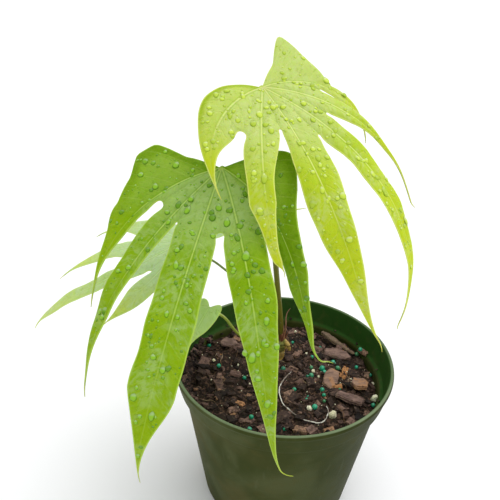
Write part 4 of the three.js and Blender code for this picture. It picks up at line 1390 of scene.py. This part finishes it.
def pot_wall(sizes):
    """The outline spun into a closed wall and floor, with the drain holes cut through."""
    profile = pot_profile(sizes)
    mesh = bpy.data.meshes.new("nursery_pot")
    mesh.from_pydata([point * MM for point in profile], [(i, i + 1) for i in range(len(profile) - 1)], [])
    piece = bpy.data.objects.new("nursery_pot", mesh)
    bpy.context.scene.collection.objects.link(piece)
    choose(piece)
    bpy.ops.object.mode_set(mode="EDIT")
    bpy.ops.mesh.select_all(action="SELECT")
    bpy.ops.mesh.spin(steps=POT_STEPS, angle=2 * math.pi, center=(0, 0, 0), axis=(0, 0, 1))
    bpy.ops.object.mode_set(mode="OBJECT")
    outwards(piece)
    cutters = []
    for i in range(sizes.drains):
        angle = (i + 0.5) / sizes.drains * 2 * math.pi
        deselect()
        bpy.ops.mesh.primitive_cylinder_add(
            vertices=32, radius=DRAIN_RADIUS * MM, depth=DRAIN_DEPTH * MM,
            location=Vector((math.cos(angle), math.sin(angle), 0)) * DRAIN_RING * MM,
        )
        cutters.append(bpy.context.active_object)
    cutter = join(cutters, "drain_cutter")
    modify(piece, "BOOLEAN", operation="DIFFERENCE", solver="EXACT", object=cutter)
    bpy.data.objects.remove(cutter)
    smooth(piece, 32)
    return piece


# Finishes


BLACK = (0, 0, 0)
DRY_FROM = 0.988  # share of a finger's length past which it is dry
DRY_TIP = 0.3  # how brown it is there
BEAD_FOOT = 0.37  # of a bead's height, under which its foot takes painted shade


def mixed(a, b, share):
    """A colour that share of the way from a to b."""
    return tuple(p + (q - p) * share for p, q in zip(a, b))


def vein_masks(f, spacing, away, rim, forward):
    """Masks of a blade's side veins and of its fine net, and a place that runs along the veins."""
    across_veins = forward - away * VEIN_LEAN
    place = across_veins / spacing
    nearest = (0.5 - abs(place.maths("FRACT", place) - 0.5)) * spacing
    net = f.node("TexVoronoi", {"feature": "DISTANCE_TO_EDGE"}, {"Vector": f.place(), "Scale": 380})
    veined = f.step(away, 1.0, 2.6) * f.step(rim, 0.6, 3.0)
    side = f.step(nearest, 0.7, 0.1) * veined
    fine = f.step(net, 0.08, 0.0) * veined
    x = f.node("SeparateXYZ", None, {0: f.place()})
    along_veins = (away + forward * 0.5) * 0.17
    leafwise = f.node("CombineXYZ", None, {0: across_veins * 0.26, 1: along_veins, 2: x * 90})
    return side, fine, leafwise


def ribs_and_rim(f, body, rib, rich, yellow, away, rim, reach):
    """Adds paler ribs with painted shade in the grooves beside them, a pale rim, and tips that yellow and
    dry.
    """
    # painted shade in the grooves beside the ribs
    groove = f.step(away, 0.4, 0.7) * f.step(away, 1.5, 0.9)
    fading = f.step(reach, 0.7, 0.3)
    body = f.blend(groove * fading * 0.4, body, rich)
    body = f.blend(f.step(away, 0.42, 0.15) * (0.15 + fading * 0.5), body, rib)
    body = f.blend(f.step(rim, 0.75, 0.35) * 0.8, body, mixed(rib, yellow, 0.35))
    body = f.blend(f.step(reach, 0.9, 1.0) * 0.5, body, mixed(yellow, rgb("d8c850"), 0.6))
    return f.blend(f.step(reach, DRY_FROM, 1.0) * DRY_TIP, body, rgb("8a6a34"))


def blade_finish(name, spacing, colour, rib, pale, dust_and_sheen, gloss, fold_shade_width):
    """Leaf skin: cloudy green under a painted sheen of pale colour, with wet flecks and painted fold shade
    at the rim.
    """
    f = Finish(
        name, Specular_IOR_Level=gloss, Subsurface_Weight=0.2, Subsurface_Scale=0.001,
        Subsurface_Radius=(0.5, 1.0, 0.12),
    )
    keys = ("away", "rim", "reach", "forward", "under", "sheen")
    away, rim, reach, forward, under, sheen = (f.attribute(key) for key in keys)
    side, fine, leafwise = vein_masks(f, spacing, away, rim, forward)
    web = f.step(forward, 62, 26)
    rich = mixed(colour, (colour[0] * 0.55, colour[1] * 0.72, 0), 0.9)
    yellow = mixed(colour, (colour[0] * 1.28, colour[1] * 1.08, 0), 0.9)
    # painted shade where a lobe folds back: a dark band along the rim of low-sheen sides near the junction
    fold_shade = f.step(rim, fold_shade_width, fold_shade_width * 0.3) * f.step(reach, 0.6, 0.35) * f.step(sheen, 0.85, 0.75)
    body = f.blend(f.step(f.noise(38, 4, 0.4), 0.32, 0.68), mixed(colour, rich, 0.3), colour)
    # yellower and lighter towards the tips: partly the blade's own colour, partly painted light on the
    # hanging fingers
    body = f.blend(f.step(reach, 0.35, 0.95) * 0.65, body, yellow)
    # painted sheen: pale colour where the skin would mirror the sky, broad over the web and in patches
    # further out
    cloud = f.step(f.noise(44, 3, 0.6), 0.42, 0.6)
    patch = f.step(f.noise(1.0, 3, 0.8, leafwise), 0.36, 0.66)
    lower = cloud * patch * 0.5 * f.step(reach, 1.0, 0.8)
    painted_sheen = (web * (0.55 + patch * 0.22) + (1 - web) * lower) * (1 - fold_shade) * sheen * dust_and_sheen
    body = f.blend(painted_sheen, body, pale)
    fleck = f.step(f.noise(1.6, 3, 1.0, leafwise), 0.58, 0.68)
    body = f.blend(fleck * 0.32, body, rich)
    # the painted fold shade
    body = f.blend(fold_shade * 0.6, body, mixed(rich, BLACK, 0.2))
    grain = f.noise(460, 3)
    body = f.blend(f.step(grain, 0.35, 0.7) * 0.12, body, mixed(colour, (1, 1, 0.3), 0.16))
    body = f.blend(side * 0.12 + fine * 0.05, body, rib)
    body = ribs_and_rim(f, body, rib, rich, yellow, away, rim, reach)
    body = f.blend(f.step(under, 0.4, 0.9) * 0.5, body, mixed(colour, (1, 1, 0.6), 0.16))
    height = fine * -0.2 + side * -0.3 + grain * 0.4 + fleck * 0.5 + patch * 0.2
    rough_skin = 0.42 - fleck * 0.12 + grain * 0.06
    return f.feed(Base_Color=body, Roughness=rough_skin, Normal=f.bump(height, 0.0005, 0.6))


def bead_finish(name, shade, painted_glow, sky):
    """Clear water: a painted sky reflection uphill, painted light further down, painted shade at its foot.
    """
    f = Finish(name, Roughness=0.12, IOR=1.333, Specular_IOR_Level=0.4)
    downhill, height, tone = (f.attribute(key) for key in ("downhill", "height", "tone"))
    # painted light: a sky reflection on the uphill side, brighter focused light further down; painted shade
    # over some whole beads and at each foot
    body = f.blend(f.step(downhill, -0.6, 0.0), sky, painted_glow)
    body = f.blend(f.step(tone, 0.3, 0.8) * 0.6, body, shade)
    foot = f.step(height, BEAD_FOOT, 0.12) * (0.3 + f.step(downhill, -0.5, 0.4) * 0.7)
    body = f.blend(foot * 0.85, body, shade)
    return f.feed(Base_Color=body)


def stalk_finish(name, low, high, knee, z_low, z_high):
    """Smooth stalk, greener towards the blade, with faint lengthways streaks and small pale specks."""
    f = Finish(name, Coat_Weight=0.15, Coat_Roughness=0.3)
    z = f.node("SeparateXYZ", None, {0: f.place()}, output=2)
    body = f.blend(f.step(z, z_low * MM, z_high * MM), low, high)
    streak = f.noise(1, 4, 0, f.stretched((900, 900, 60)))
    body = f.blend(f.step(streak, 0.35, 0.7) * 0.35, body, mixed(low, BLACK, 0.45))
    body = f.blend(f.step(z, (z_high - 9) * MM, (z_high - 5) * MM), body, knee)
    speck = f.step(f.noise(700, 2), 0.64, 0.72)
    body = f.blend(speck * 0.3, body, mixed(high, (1, 1, 0.8), 0.3))
    return f.feed(Base_Color=body, Roughness=0.38 + streak * 0.18, Normal=f.bump(streak, 0.0003, 0.4))


def shoot_finish():
    """Young shoot: yellow-green above, straw and brown where it is ringed and old."""
    f = Finish("shoot_skin", Coat_Weight=0.1, Coat_Roughness=0.4)
    x, y, z = (f.node("SeparateXYZ", None, {0: f.place()}, output=k) for k in range(3))
    patch = f.step(f.noise(160, 4, 0.6), 0.42, 0.62)
    body = f.blend(f.step(z, 0.097, 0.108), rgb("5f4b2a"), rgb("76802c"))
    body = f.blend(patch * 0.6, body, rgb("94893c"))
    pale = f.step(z, 0.1005, 0.0995) * f.step(y, 0.0272, 0.0258) + f.step(x, 0.0016, 0.0026)
    body = f.blend(pale * 0.85, body, rgb("bd9c4e"))
    ring = f.step(f.noise(1, 3, 0, f.stretched((60, 60, 900))), 0.55, 0.68)
    body = f.blend(ring * 0.5, body, rgb("4f3a20"))
    return f.feed(Base_Color=body, Roughness=0.5 + patch * 0.15, Normal=f.bump(patch + ring, 0.0004, 0.5))


def sheath_finish():
    """Dry papery skin in reddish and straw streaks, paler and pinker at its long sliver."""
    f = Finish("dry_sheath")
    streak = f.noise(1, 4, 0.2, f.stretched((700, 700, 70)))
    z = f.node("SeparateXYZ", None, {0: f.place()}, output=2)
    body = f.ramp(streak, (0.25, rgb("46291a")), (0.5, rgb("80492f")), (0.72, rgb("b58a62")))
    body = f.blend(f.step(z, 0.118, 0.13) * 0.7, body, rgb("b88a76"))
    return f.feed(Base_Color=body, Roughness=0.7 + streak * 0.2, Normal=f.bump(streak, 0.0005, 0.6))


def root_finish():
    """Chalky root with brown stretches and soil stuck to it."""
    f = Finish("root_skin")
    dark = f.step(f.noise(90, 3, 0.5), 0.48, 0.58)
    dirt = f.step(f.noise(900, 3), 0.6, 0.68)
    body = f.blend(dark * 0.8, rgb("e6e2d6"), rgb("6a5444"))
    body = f.blend(dirt * 0.6, body, rgb("3a2a20"))
    return f.feed(Base_Color=body, Roughness=0.6 + dirt * 0.3)


def bed_finish(dark):
    """Fine dark mix with brown lumps and pale flecks."""
    f = Finish("fine_mix", Specular_IOR_Level=0.2)
    lump = f.noise(420, 5, 0.5)
    body = f.ramp(
        lump, (0.3, mixed(dark, BLACK, 0.55)), (0.5, dark), (0.62, rgb("564034")), (0.78, rgb("7d6656"))
    )
    fleck = f.step(f.noise(1500, 2), 0.69, 0.73)
    body = f.blend(fleck * 0.6, body, rgb("a08a72"))
    height = lump + f.noise(1400, 3) * 0.6
    return f.feed(Base_Color=body, Roughness=0.78 + lump * 0.2, Normal=f.bump(height, 0.0012, 0.9))


def bark_finish(name, shades, grain):
    """Bark: three shades along the grain, patches of a fourth, dark cracks and pale dust."""
    f = Finish(name)
    streak = f.noise(1, 5, 0.6, f.stretched(grain))
    dark, middle, pale, patch = (rgb(shade) for shade in shades)
    body = f.ramp(streak, (0.25, dark), (0.5, middle), (0.75, pale))
    body = f.blend(f.step(f.noise(115, 3, 0.5), 0.5, 0.6) * 0.8, body, patch)
    crack = f.step(f.noise(260, 4, 1.2), 0.36, 0.28)
    body = f.blend(crack * 0.7, body, rgb("17100c"))
    dust = f.step(f.noise(900, 3), 0.58, 0.74)
    body = f.blend(dust * 0.3, body, rgb("a39080"))
    height = streak + crack * -0.6 + f.noise(1100, 2) * 0.3
    return f.feed(Base_Color=body, Roughness=0.72 + streak * 0.22, Normal=f.bump(height, 0.0009, 0.8))


def crumb_finish():
    """Crumbs from near black to orange brown, by the tone that each has."""
    f = Finish("crumb_bark", Specular_IOR_Level=0.25)
    tone = f.attribute("tone")
    body = f.ramp(
        tone, (0.0, rgb("18110d")), (0.35, rgb("33251d")), (0.58, rgb("4b382f")), (0.76, rgb("684f45")),
        (0.9, rgb("80645a")), (0.97, rgb("96755f")), (1.0, rgb("b8804f")),
    )
    spot = f.noise(520, 4, 0.6)
    body = f.blend(f.step(spot, 0.55, 0.38) * 0.6, body, rgb("150f0c"))
    body = f.blend(f.step(spot, 0.58, 0.72) * 0.35, body, rgb("9b8574"))
    return f.feed(Base_Color=body, Roughness=0.6 + spot * 0.35, Normal=f.bump(spot, 0.0008, 0.7))


def prill_finish(colour):
    """Glossy coloured shell, dirty in patches, darker or greener from prill to prill."""
    f = Finish("prill_shell", Coat_Weight=0.35, Coat_Roughness=0.2)
    tone = f.attribute("tone")
    body = f.ramp(
        tone, (0.0, mixed(colour, BLACK, 0.5)), (0.45, colour), (0.8, mixed(colour, (0.2, 0.8, 0.55), 0.2)),
        (1.0, rgb("3f7d4a")),
    )
    dirt = f.step(f.noise(650, 3, 0.5), 0.56, 0.7)
    body = f.blend(dirt * 0.5, body, rgb("33291f"))
    return f.feed(Base_Color=body, Roughness=0.34 + dirt * 0.4)


def perlite_finish(colour):
    """Chalky and full of pores, cream on some grains."""
    f = Finish("perlite_grain")
    pores = f.noise(1300, 4)
    body = f.blend(f.step(pores, 0.35, 0.6), mixed(colour, (0.35, 0.28, 0.2), 0.2), colour)
    body = f.blend(f.step(f.attribute("tone"), 0.4, 1.0) * 0.4, body, rgb("dcc98c"))
    return f.feed(Base_Color=body, Roughness=0.8 + pores * 0.15, Normal=f.bump(pores, 0.0008, 0.8))


def fibre_finish():
    """Brown to straw along the fibre."""
    f = Finish("fibre_skin")
    body = f.ramp(f.noise(55, 2), (0.35, rgb("4b3323")), (0.55, rgb("8b6a4c")), (0.7, rgb("cbb795")))
    return f.feed(Base_Color=body, Roughness=0.7 + f.noise(300) * 0.2)


COLLAR_SLOPE = 0.21  # how far the collar leans out for each metre of its height


def pot_finish(colour, dust, inside):
    """Matt olive plastic: dusty below the collar on the left, with painted shade on the right, a greener
    inside painted for its shade and the light through the wall, and a painted highlight on the lip.
    """
    f = Finish("pot_plastic", Specular_IOR_Level=0.05)
    x, y, z = (f.node("SeparateXYZ", None, {0: f.place()}, output=k) for k in range(3))
    mottle = f.noise(26, 5, 0.5)
    lighter = mixed(colour, (1, 1, 0.7), 0.025)
    body = f.blend(f.step(mottle, 0.35, 0.65), mixed(colour, BLACK, 0.14), lighter)
    dust_and_sheen = f.step(x, 0.02, -0.06) * f.step(z, 0.11, 0.06) * f.step(f.noise(17, 4, 0.7), 0.38, 0.6)
    body = f.blend(dust_and_sheen * 0.85, body, dust)
    # painted shade: the wall darkens towards the right
    body = f.blend(f.step(x, -0.01, 0.06) * 0.6, body, mixed(colour, BLACK, 0.55))
    # painted shade and painted light through the wall: the collar's inside takes a darker, greener colour
    flat = f.node("CombineXYZ", None, {0: x, 1: y})
    radius = f.node("VectorMath", {"operation": "LENGTH"}, {0: flat}, "Value")
    inner = f.step(radius - z * COLLAR_SLOPE, 0.0514, 0.0506) * f.step(z, 0.0975, 0.0985)
    body = f.blend(inner * 0.75, body, inside)
    dusty = f.step(f.noise(140, 5, 0.4), 0.5, 0.74)
    body = f.blend(dusty * 0.2, body, dust)
    rub = f.step(f.noise(1, 3, 0.3, f.stretched((240, 240, 22))), 0.64, 0.72)
    body = f.blend(rub * 0.05, body, mixed(colour, (1, 1, 0.8), 0.2))
    # painted highlight along the lip, patchy and weaker towards the back right
    patchy = 0.45 + f.noise(60, 4) * 0.5
    lip_highlight = f.step(z, 0.1142, 0.1149) * patchy * (1 - f.step(x + y, 0.01, 0.08) * 0.45)
    body = f.blend(lip_highlight, body, mixed(colour, (0.8, 1, 0.65), 0.26))
    speck = f.step(f.noise(900, 2), 0.71, 0.74)
    body = f.blend(speck * 0.5, body, rgb("241a12"))
    rough_skin = 0.55 + dust_and_sheen * 0.2 + dusty * 0.1 + lip_highlight * 0.1
    pitted = f.bump(f.noise(1200, 3), 0.00025, 0.35)
    return f.feed(Base_Color=body, Roughness=rough_skin, Normal=pitted)


# Sizes and colours a user may change


def length_of(name, about, default, low=0.0):
    return FloatProperty(
        name=name, description=about, default=default, min=low, subtype="DISTANCE", unit="LENGTH"
    )


def colour_of(name, about, code):
    return FloatVectorProperty(
        name=name, description=about, default=rgb(code), size=3, min=0, max=1, subtype="COLOR"
    )


def number_of(name, about, default):
    return IntProperty(name=name, description=about, default=default, min=1)


class PotSizes(bpy.types.PropertyGroup):
    """The pot's wall"""

    height: length_of("Height", "From the floor to the lip", POT_HIGH.z)
    rim: length_of("Rim radius", "Outside, at the lip", POT_HIGH.x)
    collar: length_of("Collar height", "From the step to the lip", 0.017)
    collar_foot: length_of("Collar foot radius", "Outside, just above the step", 0.0724)
    neck: length_of("Neck radius", "Outside, just below the step", 0.0688)
    foot: length_of("Foot radius", "Outside, near the floor", 0.0535)
    wall: length_of("Wall", "Thickness of the wall", 0.0018)
    floor: length_of("Floor", "Thickness of the floor", 0.0022)
    drains: number_of("Drain holes", "Holes in the floor", 6)
    colour: colour_of("Plastic", "Colour of the clean plastic", "3c441a")
    dust: colour_of("Dust", "Colour of dust and dried splashes", "5a5230")
    inside: colour_of("Inside", "Colour of the collar's inside, lit through the wall", "26501c")


class MixSizes(bpy.types.PropertyGroup):
    """The potting mix and what lies on it"""

    crumbs: number_of("Crumbs", "Crumbs and flakes of bark", 1150)
    fibres: number_of("Fibres", "Thin fibres on the mix", 26)
    white_dust: number_of("White dust", "Grains of perlite dust", 110)
    seed: number_of("Seed", "Start of every chance draw on the mix", 11)
    dark: colour_of("Fine mix", "Colour of the fine dark mix", "2e221a")
    prill: colour_of("Prills", "Colour of the feed prills", "0a9a72")
    perlite: colour_of("Perlite", "Colour of the perlite", "fbf7d8")


class PlantLooks(bpy.types.PropertyGroup):
    """Blades, stalks and water"""

    vein_gap: length_of("Vein gap", "Between side veins on a large blade", 0.009, 0.002)
    dew: number_of("Dew", "Small beads of water on the two large blades together", 560)
    young: colour_of("Young blade", "Colour of the newest blade", "b5cb1e")
    grown: colour_of("Grown blade", "Colour of the second blade", "84aa02")
    pale: colour_of("Pale blade", "Colour of the oldest blade", "b6d084")
    small: colour_of("Small blade", "Colour of the smallest blade", "b0d062")
    stalk: colour_of("Stalk", "Colour of the tall stalks", "4a600c")


class StageSizes(bpy.types.PropertyGroup):
    """Floor, light and camera"""

    floor: length_of("Floor", "Side of the pale floor", 14.0)
    lens: FloatProperty(name="Lens", description="Focal length in millimetres", default=46.8, min=1)
    key: FloatProperty(name="Key light", description="Strength of the soft light from above", default=1.75)
    sky: FloatProperty(name="Sky", description="Strength of the even light from all sides", default=0.74)


class BuildBlades(bpy.types.Operator):
    """Grow the four blades from their fingers and give each its own green"""

    bl_idname = "anthurium.blades"
    bl_label = "Blades"

    def execute(self, context):
        looks = context.scene.anthurium_plant
        gap = looks.vein_gap / MM
        # in each row, after the rib colour: the colour and strength of the painted sheen, the gloss, a slot
        # name, and the width in mm of the painted fold shade
        rows = [
            ("leaf_a", gap, looks.young, rgb("dce68a"), rgb("cbd898"), 0.8, 0.16, "new_blade", 4.5),
            ("leaf_b", gap, looks.grown, rgb("bed868"), rgb("aac67c"), 1.0, 0.08, "blade", 11),
            ("leaf_c", gap * 0.75, looks.pale, rgb("c6dc9c"), rgb("bcd4a6"), 0.9, 0.2, "pale_blade", 0.1),
            ("leaf_d", gap * 0.55, looks.small, rgb("c0dc88"), rgb("bcd69c"), 0.8, 0.2, "small_blade", 0.1),
        ]
        for seed, (node, spacing, colour, rib, pale, dust_and_sheen, gloss, slot, fold_shade_width) in enumerate(rows, 3):
            skin = node.replace("leaf", "skin")
            finish = blade_finish(skin, spacing, tuple(colour), rib, pale, dust_and_sheen, gloss, fold_shade_width)
            fit(blade(node, spacing, seed), finish, [node])
        return {"FINISHED"}


class BuildDew(bpy.types.Operator):
    """Lay beads of water on the two large blades"""

    bl_idname = "anthurium.dew"
    bl_label = "Dew"

    def execute(self, context):
        blades = [bpy.data.objects["blade_" + key] for key in "ab"]
        total = context.scene.anthurium_plant.dew
        lens = context.scene.anthurium_stage.lens
        aims = [(photo_ray(px, py, lens), radius) for px, py, radius in BIG_DROPS]
        large = big_beads(blades, EYE, aims)
        forms = bead_forms()
        # for each blade: the beads' painted shade, painted light and painted sky reflection
        shades = [
            (rgb("9cb82c"), rgb("c8de4a"), rgb("d2e094")),
            (rgb("4a7a0a"), rgb("8cbe2a"), rgb("a6c47e")),
        ]
        for number, (piece, colours) in enumerate(zip(blades, shades)):
            places = large[piece.name] + small_beads(piece, total // 2, len(forms), 20 + number)
            name = piece.name.replace("blade", "dew")
            beads = strew(name, forms, places)
            shape = np.concatenate([forms[place[0]][0] for place in places])
            paint(beads, "downhill", shape[:, 0])
            paint(beads, "height", shape[:, 2])
            smooth(beads, 180)
            fit(beads, bead_finish(name + "_water", *colours))
        return {"FINISHED"}


class BuildStalks(bpy.types.Operator):
    """Draw the four stalks from the shoot to their blades"""

    bl_idname = "anthurium.stalks"
    bl_label = "Stalks"

    def execute(self, context):
        base = tuple(context.scene.anthurium_plant.stalk)
        brown, fresh, shady = rgb("8f7c1c"), rgb("93a63c"), rgb("4a3a20")
        rows = [
            ("a", mixed(base, brown, 0.5), mixed(base, fresh, 0.12), rgb("b4c840"), 100, 303, "petiole"),
            ("b", base, mixed(base, fresh, 0.45), rgb("8fae34"), 100, 261, "petiole"),
            ("c", mixed(base, shady, 0.3), rgb("7f9440"), rgb("a9c070"), 105, 193, "petiole"),
            ("d", rgb("98ac30"), rgb("b2c254"), rgb("b4cc60"), 96, 148, "petiole_green"),
        ]
        for key, low, high, knee, z_low, z_high, slot in rows:
            finish = stalk_finish("stalk_skin_" + key, low, high, knee, z_low, z_high)
            fit(stalk(key), finish, ["petiole_" + key])
        return {"FINISHED"}


class BuildShoot(bpy.types.Operator):
    """Grow the short shoot and wrap its dry sheath round the first stalk"""

    bl_idname = "anthurium.shoot"
    bl_label = "Shoot and sheath"

    def execute(self, context):
        fit(shoot(), shoot_finish(), ["shoot_base"])
        fit(sheath(), sheath_finish(), ["cataphyll"])
        return {"FINISHED"}


class BuildFallenRoot(bpy.types.Operator):
    """Lay the loose root on the mix"""

    bl_idname = "anthurium.fallen_root"
    bl_label = "Loose root"

    def execute(self, context):
        fit(loose_root(context.scene.anthurium_stage.lens), root_finish(), ["loose_root"])
        return {"FINISHED"}


class BuildMixBed(bpy.types.Operator):
    """Heap the fine mix in the pot"""

    bl_idname = "anthurium.mix_bed"
    bl_label = "Fine mix"

    def execute(self, context):
        finish = bed_finish(tuple(context.scene.anthurium_mix.dark))
        fit(mix_bed(), finish, ["potting_mix"])
        return {"FINISHED"}


class BuildBark(bpy.types.Operator):
    """Split the six large bark chips and lay them on the mix"""

    bl_idname = "anthurium.bark"
    bl_label = "Large bark chips"

    def execute(self, context):
        kinds = {
            "tan_bark": ("splinter_wood", ("4a392c", "74604a", "938066", "6a5444"), (260, 260, 420)),
            "dark_bark": ("plate_bark", ("46332b", "7a5f54", "94796b", "5e473f"), (90, 420, 420)),
            "orange_bark": ("inner_bark", ("5a4338", "8a6b5a", "a78467", "a77852"), (90, 420, 420)),
        }
        finishes = {slot: bark_finish(*kind) for slot, kind in kinds.items()}
        for seed, spec in enumerate(BARK, 30):
            fit(bark_chip(spec, seed), finishes[spec["slot"]], [spec["node"]])
        return {"FINISHED"}


class BuildCrumbs(bpy.types.Operator):
    """Strew crumbs, small chips, bits on the ledge and fibres"""

    bl_idname = "anthurium.crumbs"
    bl_label = "Crumbs and fibres"

    def execute(self, context):
        sizes = context.scene.anthurium_mix
        draw = random.Random(sizes.seed)
        beds = [bpy.data.objects["mix_bed"]]
        finish = crumb_finish()
        forms = lump_forms(8, 0.13, sizes.seed)
        places = crumb_places(draw, beds, sizes.crumbs, len(forms))
        crumbs = strew("crumbs", forms, places, potted=True)
        fit(crumbs, finish, ())
        places = small_chip_places(draw, beds, len(forms))
        chips = strew("small_chips", forms, places, potted=True)
        modify(chips, "BEVEL", width=0.25 * MM, segments=1)
        smooth(chips, 30)
        fit(chips, finish, ())
        bits = strew("ledge_bits", forms, ledge_places(draw, len(forms)), potted=True)
        fit(bits, finish, ())
        fit(fibres(draw, [beds[0], crumbs], sizes.fibres), fibre_finish())
        return {"FINISHED"}


class BuildPrills(bpy.types.Operator):
    """Strew the blue-green feed prills"""

    bl_idname = "anthurium.prills"
    bl_label = "Feed prills"

    def execute(self, context):
        sizes = context.scene.anthurium_mix
        beds = [bpy.data.objects[name] for name in ("mix_bed", "small_chips")]
        lens = context.scene.anthurium_stage.lens
        places = prill_places(random.Random(sizes.seed + 1), beds, lens)
        prills = strew("prills", [prill_form()], places)
        smooth(prills, 180)
        fit(prills, prill_finish(tuple(sizes.prill)))
        return {"FINISHED"}


class BuildPerlite(bpy.types.Operator):
    """Strew white perlite and its dust"""

    bl_idname = "anthurium.perlite"
    bl_label = "Perlite"

    def execute(self, context):
        sizes = context.scene.anthurium_mix
        beds = [bpy.data.objects[name] for name in ("mix_bed", "small_chips")]
        forms = perlite_forms(5)
        lens = context.scene.anthurium_stage.lens
        draw = random.Random(sizes.seed + 2)
        places = perlite_places(draw, beds, len(forms), sizes.white_dust, lens)
        perlite = strew("perlite", forms, places)
        smooth(perlite, 40)
        fit(perlite, perlite_finish(tuple(sizes.perlite)))
        return {"FINISHED"}


class BuildPot(bpy.types.Operator):
    """Spin the pot's wall and cut its drain holes"""

    bl_idname = "anthurium.pot"
    bl_label = "Pot"

    def execute(self, context):
        sizes = context.scene.anthurium_pot
        shades = (tuple(shade) for shade in (sizes.colour, sizes.dust, sizes.inside))
        fit(pot_wall(sizes), pot_finish(*shades), ["pot"])
        return {"FINISHED"}


def wide_light(name, direction, strength, spread):
    """Even light from a wide soft source far away; direction points from the plant to it."""
    deselect()
    bpy.ops.object.light_add(type="SUN", rotation=Vector(direction).to_track_quat("Z", "Y").to_euler())
    light = bpy.context.active_object
    light.name = name
    light.data.energy = strength
    light.data.angle = math.radians(spread)


class BuildStage(bpy.types.Operator):
    """Set the pale floor, the soft light and the camera"""

    bl_idname = "anthurium.stage"
    bl_label = "Stage"

    def execute(self, context):
        scene = context.scene
        sizes = scene.anthurium_stage
        deselect()
        bpy.ops.mesh.primitive_plane_add(size=sizes.floor)
        floor = context.active_object
        floor.name = "floor"
        paper = Finish("paper", Base_Color=(0.93, 0.93, 0.93, 1), Roughness=0.9)
        floor.data.materials.append(paper.material)
        world = bpy.data.worlds.new("soft_room")
        world.use_nodes = True
        light = world.node_tree.nodes["Background"].inputs
        light["Strength"].default_value = sizes.sky
        light["Color"].default_value = (0.97, 0.985, 1, 1)
        scene.world = world
        wide_light("key_light", (0.35, 0.15, 0.92), sizes.key, 70)
        scene.view_settings.view_transform = "Standard"
        bpy.ops.object.camera_add(location=EYE, rotation=EYE_TURN.to_euler())
        camera = context.active_object
        camera.data.sensor_width = SENSOR
        camera.data.lens = sizes.lens
        camera.data.clip_start = 0.01
        scene.camera = camera
        return {"FINISHED"}


class AnthuriumPanel(bpy.types.Panel):
    """Lists what can be built"""

    bl_idname = "VIEW3D_PT_anthurium"
    bl_label = "Potted Anthurium"
    bl_space_type = "VIEW_3D"
    bl_region_type = "UI"
    bl_category = "Anthurium"

    def draw(self, context):
        for group in GROUPS:
            box = self.layout.box()
            sizes = getattr(context.scene, group)
            for key in sizes.__annotations__:
                box.prop(sizes, key)
        for operator in OPERATORS:
            self.layout.operator(operator.bl_idname)


GROUPS = {
    "anthurium_pot": PotSizes, "anthurium_mix": MixSizes, "anthurium_plant": PlantLooks,
    "anthurium_stage": StageSizes,
}
OPERATORS = [
    BuildPot, BuildMixBed, BuildBark, BuildCrumbs, BuildPrills, BuildPerlite, BuildShoot, BuildStalks,
    BuildFallenRoot, BuildBlades, BuildDew, BuildStage,
]


def register():
    for group in GROUPS.values():
        bpy.utils.register_class(group)
    for made in [*OPERATORS, AnthuriumPanel]:
        bpy.utils.register_class(made)
    for name, group in GROUPS.items():
        setattr(bpy.types.Scene, name, PointerProperty(type=group))


def unregister():
    for name in GROUPS:
        delattr(bpy.types.Scene, name)
    for made in [AnthuriumPanel, *reversed(OPERATORS), *GROUPS.values()]:
        bpy.utils.unregister_class(made)


def main():
    register()
    for operator in OPERATORS:
        group, name = operator.bl_idname.split(".")
        getattr(getattr(bpy.ops, group), name)()


if __name__ == "__main__":
    main()
